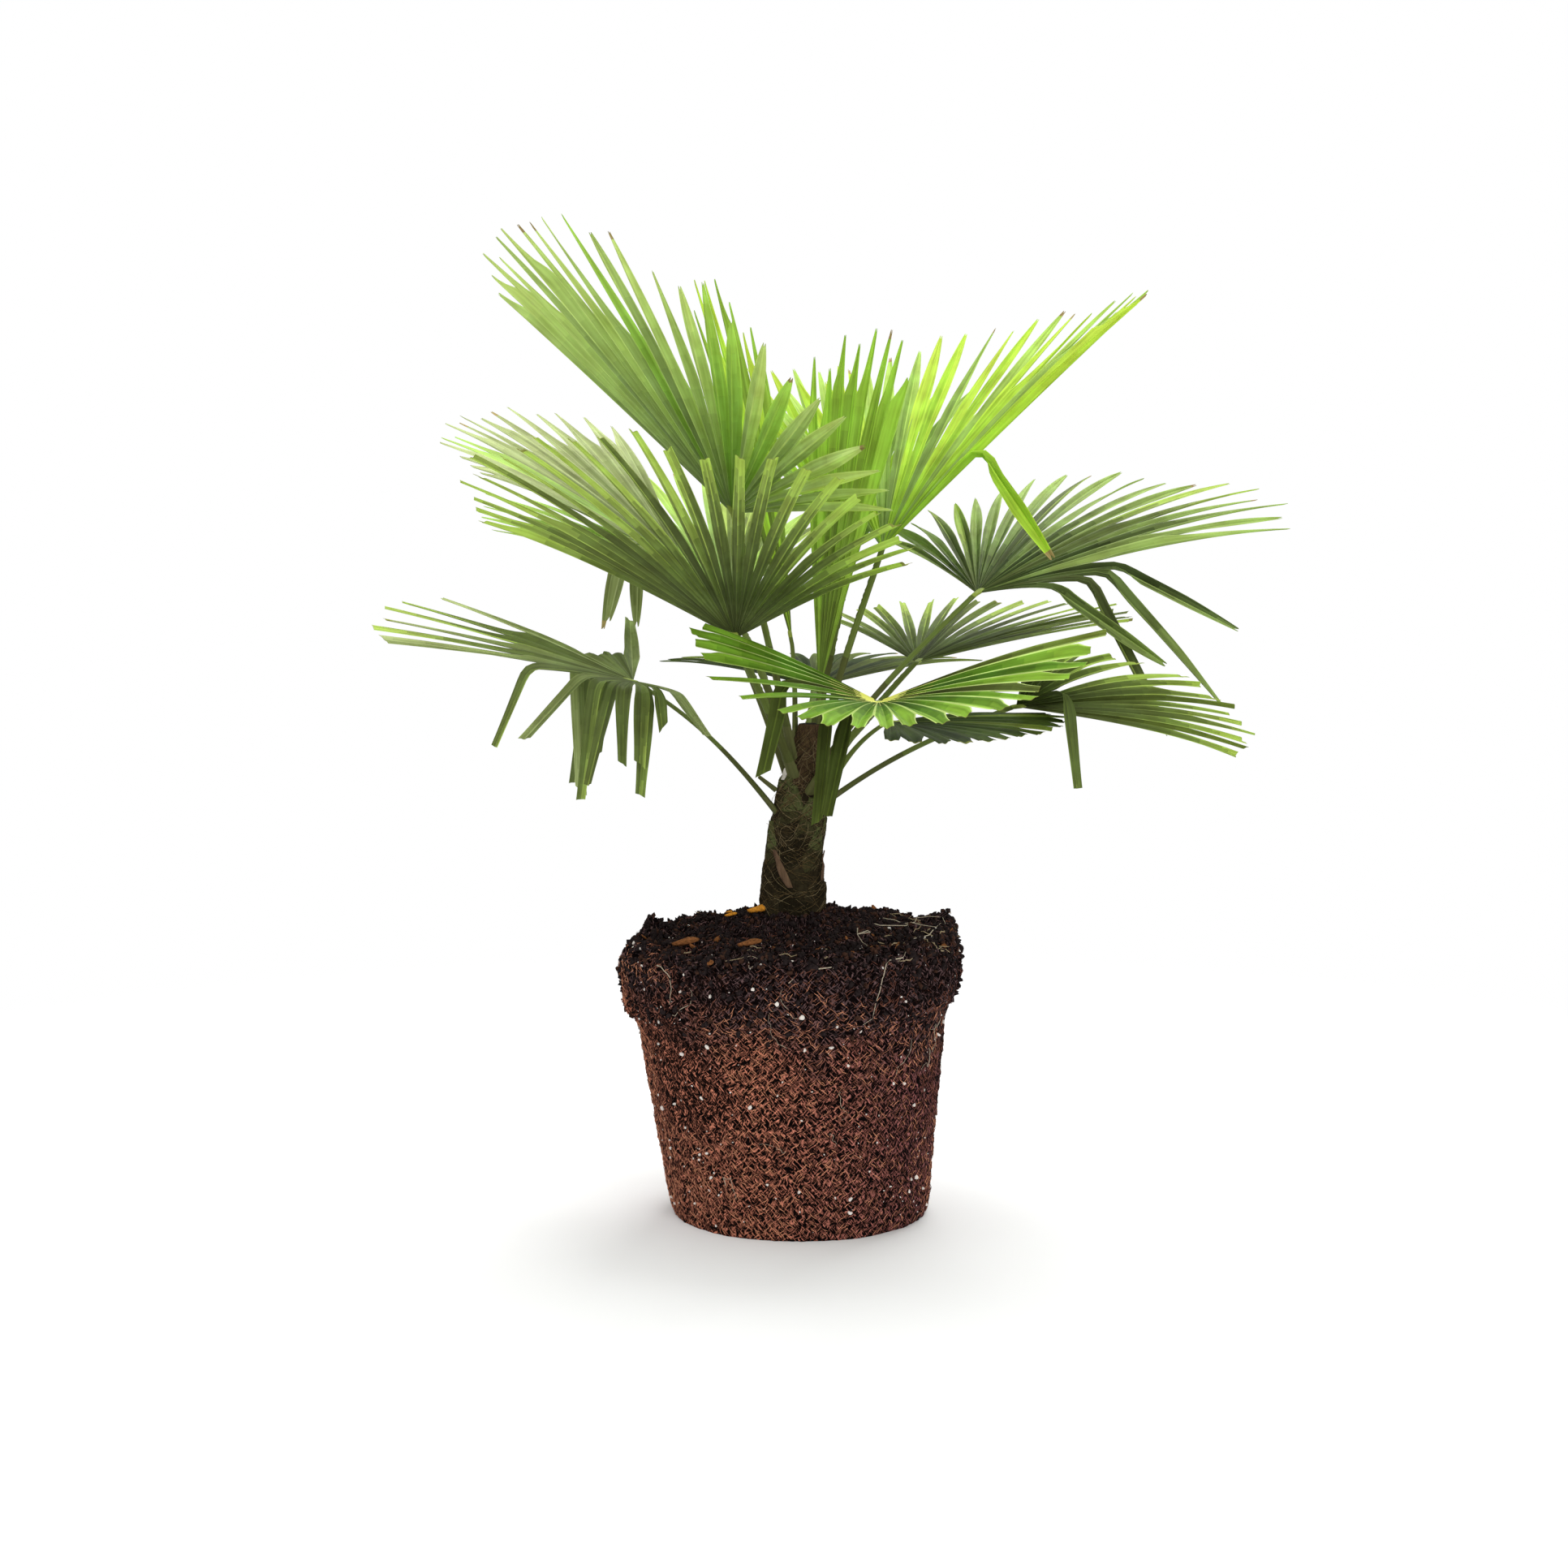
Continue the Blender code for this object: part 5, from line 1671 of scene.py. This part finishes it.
# %% The table of looks
LOOK_FIELDS = "joined wide hang pleat deeper twist turn family other share rimmed"
Look = namedtuple("Look", LOOK_FIELDS, defaults=(False,))
# low_front takes the shaded row, and low_back has it as its other row: painted shade for fans under the
# others
LOOKS = {
    "low_left": Look((0.30, 0.42, 0.52), 0.0062, 0.12, 0.45, 1.0, 16, 10, "olive", "pale", 0.45),
    "low_right": Look((0.66, 0.66, 0.66), 0.0060, 0.12, 0.70, 1.0, 12, 0, "olive", "dull", 0.20),
    "low_front": Look((0.88, 0.88, 0.84), 0.0062, 0.00, 0.50, 1.0, 12, 0, "shaded", "dull", 0.12),
    "low_back": Look((0.48, 0.48, 0.48), 0.0058, 0.00, 0.60, 1.0, 16, 0, "dull", "shaded", 0.40),
    "back_right": Look((0.32, 0.30, 0.34), 0.0046, 0.00, 0.60, 1.0, 18, 0, "olive", "dull", 0.30),
    "right": Look((0.13, 0.42, 0.80), 0.0052, 0.12, 0.75, 1.7, 30, 55, "grey", "olive", 0.30),
    "left": Look((0.85, 0.80, 0.75), 0.0066, 0.12, 0.45, 1.0, 12, 0, "pale", "fresh", 0.15),
    "back_left": Look((0.44, 0.44, 0.44), 0.0056, 0.00, 0.60, 1.0, 16, 0, "fresh", "olive", 0.45),
    "front_left": Look((0.34, 0.29, 0.62), 0.0049, 0.00, 0.75, 1.0, 14, 0, "olive", "grey", 0.00),
    "front_right": Look((0.92, 0.88, 0.86), 0.0068, 0.12, 0.80, 1.0, 6, -56, "deep", "dull", 0.06, True),
    "upper_left": Look((0.28, 0.50, 0.90), 0.0068, 0.00, 0.80, 1.3, 20, 0, "light", "fresh", 0.30),
    "upper_right": Look((0.26, 0.42, 1.00), 0.0064, 0.01, 0.80, 2.3, 24, 75, "lime", "fresh", 0.40),
    "upper_back": Look((0.36, 0.36, 0.36), 0.0055, 0.00, 0.65, 1.0, 22, 0, "lime", "fresh", 0.50),
    "young_left": Look((0.78, 0.78, 0.78), 0.0062, 0.00, 1.10, 1.0, 8, 0, "young", "lime", 0.45),
    "young_right": Look((0.80, 0.80, 0.80), 0.0062, 0.00, 1.10, 1.0, 8, 0, "young", "lime", 0.30),
}
assert set(LOOKS) == {fan.name for fan in FANS}
print("looks:", len(LOOKS))

# %% Measure along ribs, and find where the sheet splits
START = 0.0042
UNEVEN_SPLIT = 0.16
LATEST_SPLIT = 0.93
LATEST_BEFORE_FOLD = 0.92
SEAM_STEPS = 26
PLEAT_FADE = 0.28
CUT_TAPER = (0.50, 0.26)
HANG_TAPER = (0.76, 0.62, 1.5)
TIP_TAPER = (0.60, 0.82, 2.1)


def along(line, marks):
    """Give the points of a rib at distances from the hub, going on past its end where asked."""
    points = np.array([tuple(point) for point in line])
    far = far_along(points)
    past = np.maximum(marks - far[-1], 0.0)[:, None]
    return at_marks(marks, far, points) + past * unit(points[-1] - points[-2])


def split_marks(fan, lines):
    """Say how far from the hub the sheet splits at each edge, from the fan's left to its right."""
    splits = []
    for number in range(fan.count + 1):
        share = np.interp(number / fan.count, (0.0, 0.5, 1.0), LOOKS[fan.name].joined)
        limits = [fan.reach * share * (1.0 + UNEVEN_SPLIT * uneven(fan, number, "split"))]
        for index in range(max(number - 1, 0), min(number + 1, fan.count)):
            fold = fold_of(fan, index)
            limits.append(lengths_along(lines[index])[-1] * LATEST_SPLIT)
            if fold:
                limits.append(leaflet_length(fan, index) * fold.share * LATEST_BEFORE_FOLD)
        splits.append(min(limits))
    return splits


def pleat_at(fan, number, marks):
    """Give how deep the sheet is pleated, as a share of half a leaflet's width."""
    look = LOOKS[fan.name]
    deep = np.interp(number / fan.count, (0.0, 0.55, 1.0), (look.pleat, look.pleat, look.pleat * look.deeper))
    return deep * (1.0 - PLEAT_FADE * (1.0 - np.cos(math.pi * np.minimum(marks / fan.reach, 1.0))))


def seam(fan, lines, number, split):
    """Follow the upper fold between two leaflets from the hub to where it splits."""
    marks = np.linspace(START, split, SEAM_STEPS)
    left, right = along(lines[number - 1], marks), along(lines[number], marks)
    across = left - right
    ahead = unit(np.gradient(left + right, axis=0))
    gap = 0.5 * np.linalg.norm(across, axis=1)
    rise = pleat_at(fan, number, marks) * gap
    return marks, 0.5 * (left + right) + unit(np.cross(ahead, across)) * rise[:, None]


def taper(fan, share, folded):
    """Narrow a leaflet towards its tip: nearly to a point, or a little when it was trimmed or hangs."""
    if fan.tip == CUT:
        return 1.0 - CUT_TAPER[1] * smooth_share(CUT_TAPER[0], 1.0, share)
    start, amount, power = HANG_TAPER if folded else TIP_TAPER
    return 1.0 - amount * np.clip((share - start) / (1.0 - start), 0.0, 1.0) ** power


print("longest joined sheet:", round(max(fan.reach * max(LOOKS[fan.name].joined) for fan in FANS), 3))

# %% Follow a leaflet's edges
OWN_SHARE = 0.92
UNEVEN_PLEAT = 0.30
SEAM_FADE = 0.011


def own_edge(fan, index, sign, marks, share, rib, side, up):
    """Give where a leaflet's edge would run with no neighbour."""
    fold = fold_of(fan, index)
    look = LOOKS[fan.name]
    widen = np.maximum(marks - leaflet_length(fan, index) * fold.share, 0.0) * look.hang if fold else 0.0
    half = marks * math.tan(0.5 * fan_step(fan)) * OWN_SHARE + widen
    half = np.minimum(half, look.wide) * taper(fan, share, fold is not None)
    depth = pleat_at(fan, index + 0.5, marks) * (1.0 + UNEVEN_PLEAT * uneven(fan, index, "pleat")) * half
    return rib + sign * side * half[:, None] + up * depth[:, None]


def edge_of(fan, lines, splits, index, sign, marks, *ways):
    """Follow one edge of a leaflet: on the shared fold as far as the split, its own way from there."""
    own = own_edge(fan, index, sign, marks, *ways)
    number = index if sign > 0 else index + 1
    if number in (0, fan.count):
        return own
    split = splits[number]
    far, fold = seam(fan, lines, number, split)
    fade = np.exp(-np.maximum(marks - split, 0.0) / SEAM_FADE)[:, None]
    freed = own + (fold[-1] - at_marks(split, marks, own)) * fade
    return np.where((marks <= split)[:, None], at_marks(marks, far, fold), freed)


print("a freed edge has closed half of its gap after", round(SEAM_FADE * math.log(2.0), 4))

# %% Shape the tips across a ring
ACROSS = np.array((1.0, 0.86, 0.52, 0.10, -0.10, -0.52, -0.86, -1.0, -0.86, -0.52, -0.10, 0.10, 0.52, 0.86))
RING = len(ACROSS)
CUT_SLANT = 0.0044
CUT_NOTCH = 0.0016
FORK = 0.0050
FORK_SHAPE = ((0.0, -1.0), (0.52, 0.30), (0.86, 0.10), (1.0, -0.30))


def tip_shape(fan, index):
    """Give how far each place across the tip stands out: two points, or a slanting cut."""
    if fan.tip == CUT:
        slant, notch = (uneven(fan, index, kind) for kind in ("slant", "notch"))
        return CUT_SLANT * slant * ACROSS + CUT_NOTCH * notch * np.abs(ACROSS)
    return FORK * (0.70 + 0.3 * uneven(fan, index, "fork")) * np.interp(np.abs(ACROSS), *zip(*FORK_SHAPE))


print("a tip's points stand out by", np.ptp(tip_shape(FANS[3], 0)).round(4))

# %% Build one leaflet as thin rings
STATIONS = 30
TIP_REACH = 0.012
TIP_MARKS = np.array((0.55, 0.26, 0.0))
TIP_GROWS = (0.45, 1.0)
BODY_SKEW = 0.95
HALF_THICK = 0.00022
RIB_DEPTH = 0.00050
SLIMMEST = 0.6
CROWN = 0.07
TWIST_ENDS = (0.9, 1.15)
TURN_REACH = 0.030
TURNED_FROM = 35
SIDE_UP = np.array((0.0, 1, 1, 1, 1, 1, 1, 0, -1, -1, -1, -1, -1, -1))
UNDER_RIB = (np.abs(ACROSS) < 0.2) & (SIDE_UP < 0.0)


def turned_about(vectors, axes, angles):
    """Turn vectors about axes by angles."""
    cosine, sine = np.cos(angles)[:, None], np.sin(angles)[:, None]
    part = axes * (vectors * axes).sum(axis=1, keepdims=True)
    return vectors * cosine + np.cross(axes, vectors) * sine + part * (1.0 - cosine)


def leaflet_rings(fan, lines, splits, index):
    """Give a leaflet's rings of points and how far out each ring is."""
    look = LOOKS[fan.name]
    whole = lengths_along(lines[index])[-1]
    body = np.linspace(0.0, 1.0, STATIONS - len(TIP_MARKS)) ** BODY_SKEW
    marks = np.append(START + (whole - TIP_REACH - START) * body, whole - TIP_REACH * TIP_MARKS)
    share = marks / whole
    rib = along(lines[index], marks)
    ahead = unit(np.gradient(rib, axis=0))
    side, up = square_to(ahead, np.tile(np.array(leaflet_side(fan, index)), (STATIONS, 1)))
    left, right = (
        edge_of(fan, lines, splits, index, sign, marks, share, rib, side, up) for sign in (1.0, -1.0)
    )
    free_from = min(max(splits[index:index + 2]) / whole, TWIST_ENDS[0])
    twist = 2.0 * math.radians(look.twist) * uneven(fan, index, "twist")
    free = twist * smooth_share(free_from, TWIST_ENDS[1], share)
    fold = fold_of(fan, index)
    if fold and abs(leaflet_angle(fan, index)) > TURNED_FROM:
        turn_from = leaflet_length(fan, index) * fold.share
        free = free + smooth_share(turn_from, turn_from + TURN_REACH, marks) * math.radians(look.turn)
    left, right, up = (turned_about(way, ahead, free) for way in (left - rib, right - rib, up))
    part = np.abs(ACROSS)[None, :, None]
    points = rib[:, None] + part * np.where((ACROSS > 0.0)[None, :, None], left[:, None], right[:, None])
    wide = np.linalg.norm(left - right, axis=1)[:, None]
    slim = np.linspace(1.0, SLIMMEST, STATIONS)[:, None]
    lift = wide * CROWN * np.sin(math.pi * np.abs(ACROSS))
    lift = lift + HALF_THICK * slim * SIDE_UP - RIB_DEPTH * slim ** 2 * UNDER_RIB
    grow = np.append(np.zeros(STATIONS - len(TIP_GROWS)), TIP_GROWS)
    points = points + up[:, None] * lift[..., None]
    return points + ahead[:, None] * (grow[:, None] * tip_shape(fan, index))[..., None], marks


print("points in a ring:", RING, "rings in a leaflet:", STATIONS)

# %% Deal out the colours of a leaflet
BROWN_CHANCE = 0.12
HALF_CHANCE = 0.45
HALF_SHIFTS = (-2.0, 2.0)
STAGGER = 0.6
UNEVEN_ZONE = 0.12
RIB_LIGHTER = 2.4
SEAM_LIGHTER = 1.4
HUB_ROWS = (2, 3, 7)
EDGE_KIND, HUB_KIND, CUT_KIND, BROWN_KIND = range(2 * ROW_STEPS, 2 * ROW_STEPS + len(part_looks))
RIB_FACES = (3, 10)
EDGE_FACES = (0, 6, 7, 13)
RIDGE_FACES = (1, 5, 8, 12)
LEFT_FACES = (0, 1, 2, 11, 12, 13)
CAP_FACES = RING // 2 - 1


def leaflet_kinds(fan, index, marks):
    """Choose a look for each face of a leaflet: hub, the row of colours, rib, pale edge, and worn tip."""
    look = LOOKS[fan.name]
    chance = random.Random(f"{fan.name} {index} looks")
    folded = fold_of(fan, index) is not None
    row = ROW_STEPS if chance.random() < look.share or (folded and look.rimmed) else 0
    # Faces step along the row by their distance out; the darker steps near the hub are partly painted shade.
    share = 0.5 * (marks[1:] + marks[:-1]) / marks[-1] + UNEVEN_ZONE * uneven(fan, index, "zone")
    if folded:
        share = share * 0.5
    steps = np.repeat((share * ROW_STEPS)[:, None], RING, axis=1)
    if chance.random() < HALF_CHANCE:
        steps[:, LEFT_FACES] += chance.choice(HALF_SHIFTS)
    steps += np.array([chance.uniform(-STAGGER, STAGGER) for _ in range(RING)])
    steps[:, RIB_FACES] += RIB_LIGHTER
    steps[:, EDGE_FACES] += SEAM_LIGHTER
    kinds = np.clip(steps, 0, ROW_STEPS - 1).astype(int) + row
    if look.rimmed:
        if not folded:
            kinds[HUB_ROWS[0]:, EDGE_FACES] = EDGE_KIND
        kinds[:HUB_ROWS[0]] = HUB_KIND
        kinds[:HUB_ROWS[1], RIDGE_FACES] = HUB_KIND
        kinds[:HUB_ROWS[2], EDGE_FACES + RIB_FACES] = HUB_KIND
    worn = chance.random() < BROWN_CHANCE
    tip = BROWN_KIND if worn else kinds[-1, 0]
    if fan.tip == CUT:
        tip = kinds[-1, 0] if folded else CUT_KIND
        kinds[-1] = CUT_KIND if worn and not folded else kinds[-1]
    elif worn:
        kinds[-2:] = BROWN_KIND
    caps = np.repeat([kinds[0, 0], tip], CAP_FACES)
    return np.concatenate([kinds.ravel(), caps])


print("looks for one fan:", BROWN_KIND + 1)

# %% Join the leaflets of each fan
CAP = np.array(((13, 0, 1, 2), (2, 3, 12, 13), (3, 4, 11, 12), (4, 5, 10, 11), (5, 6, 9, 10), (6, 7, 8, 9)))
STUMP_POINTS = 5
MAP_HALF = 0.0062
MAP_STEP = 0.05
STRIP_FILL = 0.95


def leaflet_maps(fan, index, faces, marks):
    """Give each corner its place in metres, and its place on a flat strip of its own."""
    row, column = faces // RING, faces % RING
    column = column + np.where((column == 0) & (column.max(axis=1, keepdims=True) > RING // 2), RING, 0)
    wide = MAP_HALF * np.append(ACROSS, ACROSS[0])
    way = np.stack([wide[column] + MAP_STEP * index, marks[row]], axis=-1)
    strip = np.stack([(index + STRIP_FILL * column / RING) / fan.count, row / (STATIONS - 1)], axis=-1)
    return way.reshape(-1, 2), strip.reshape(-1, 2)


def fan_piece(fan):
    """Build a fan from its leaflets."""
    lines = ribs[fan.name]
    lines = [line or leaflet_line(fan, index, 0.0)[:STUMP_POINTS] for index, line in enumerate(lines)]
    splits = split_marks(fan, lines)
    faces = np.concatenate([grid_faces(STATIONS, RING, True), CAP[:, ::-1], CAP + (STATIONS - 1) * RING])
    leaflets = []
    for index in range(fan.count):
        rings, marks = leaflet_rings(fan, lines, splits, index)
        kinds = leaflet_kinds(fan, index, marks)
        leaflets.append((rings.reshape(-1, 3), kinds, *leaflet_maps(fan, index, faces, marks)))
    points, kinds, ways, strips = (np.concatenate(rows) for rows in zip(*leaflets))
    faces = copied_faces(faces, fan.count, STATIONS * RING)
    look = LOOKS[fan.name]
    looks = [*leaf_looks[look.family], *leaf_looks[look.other], *part_looks]
    made = piece("fan_" + fan.name, points, faces, looks, kinds, {"leaf_way": ways, "OFBake": strips})
    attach(made, "root")
    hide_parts("blade_" + fan.name)
    return made


fans = [fan_piece(fan) for fan in FANS]
print("fans:", len(fans), "faces:", sum(len(fan.data.polygons) for fan in fans))
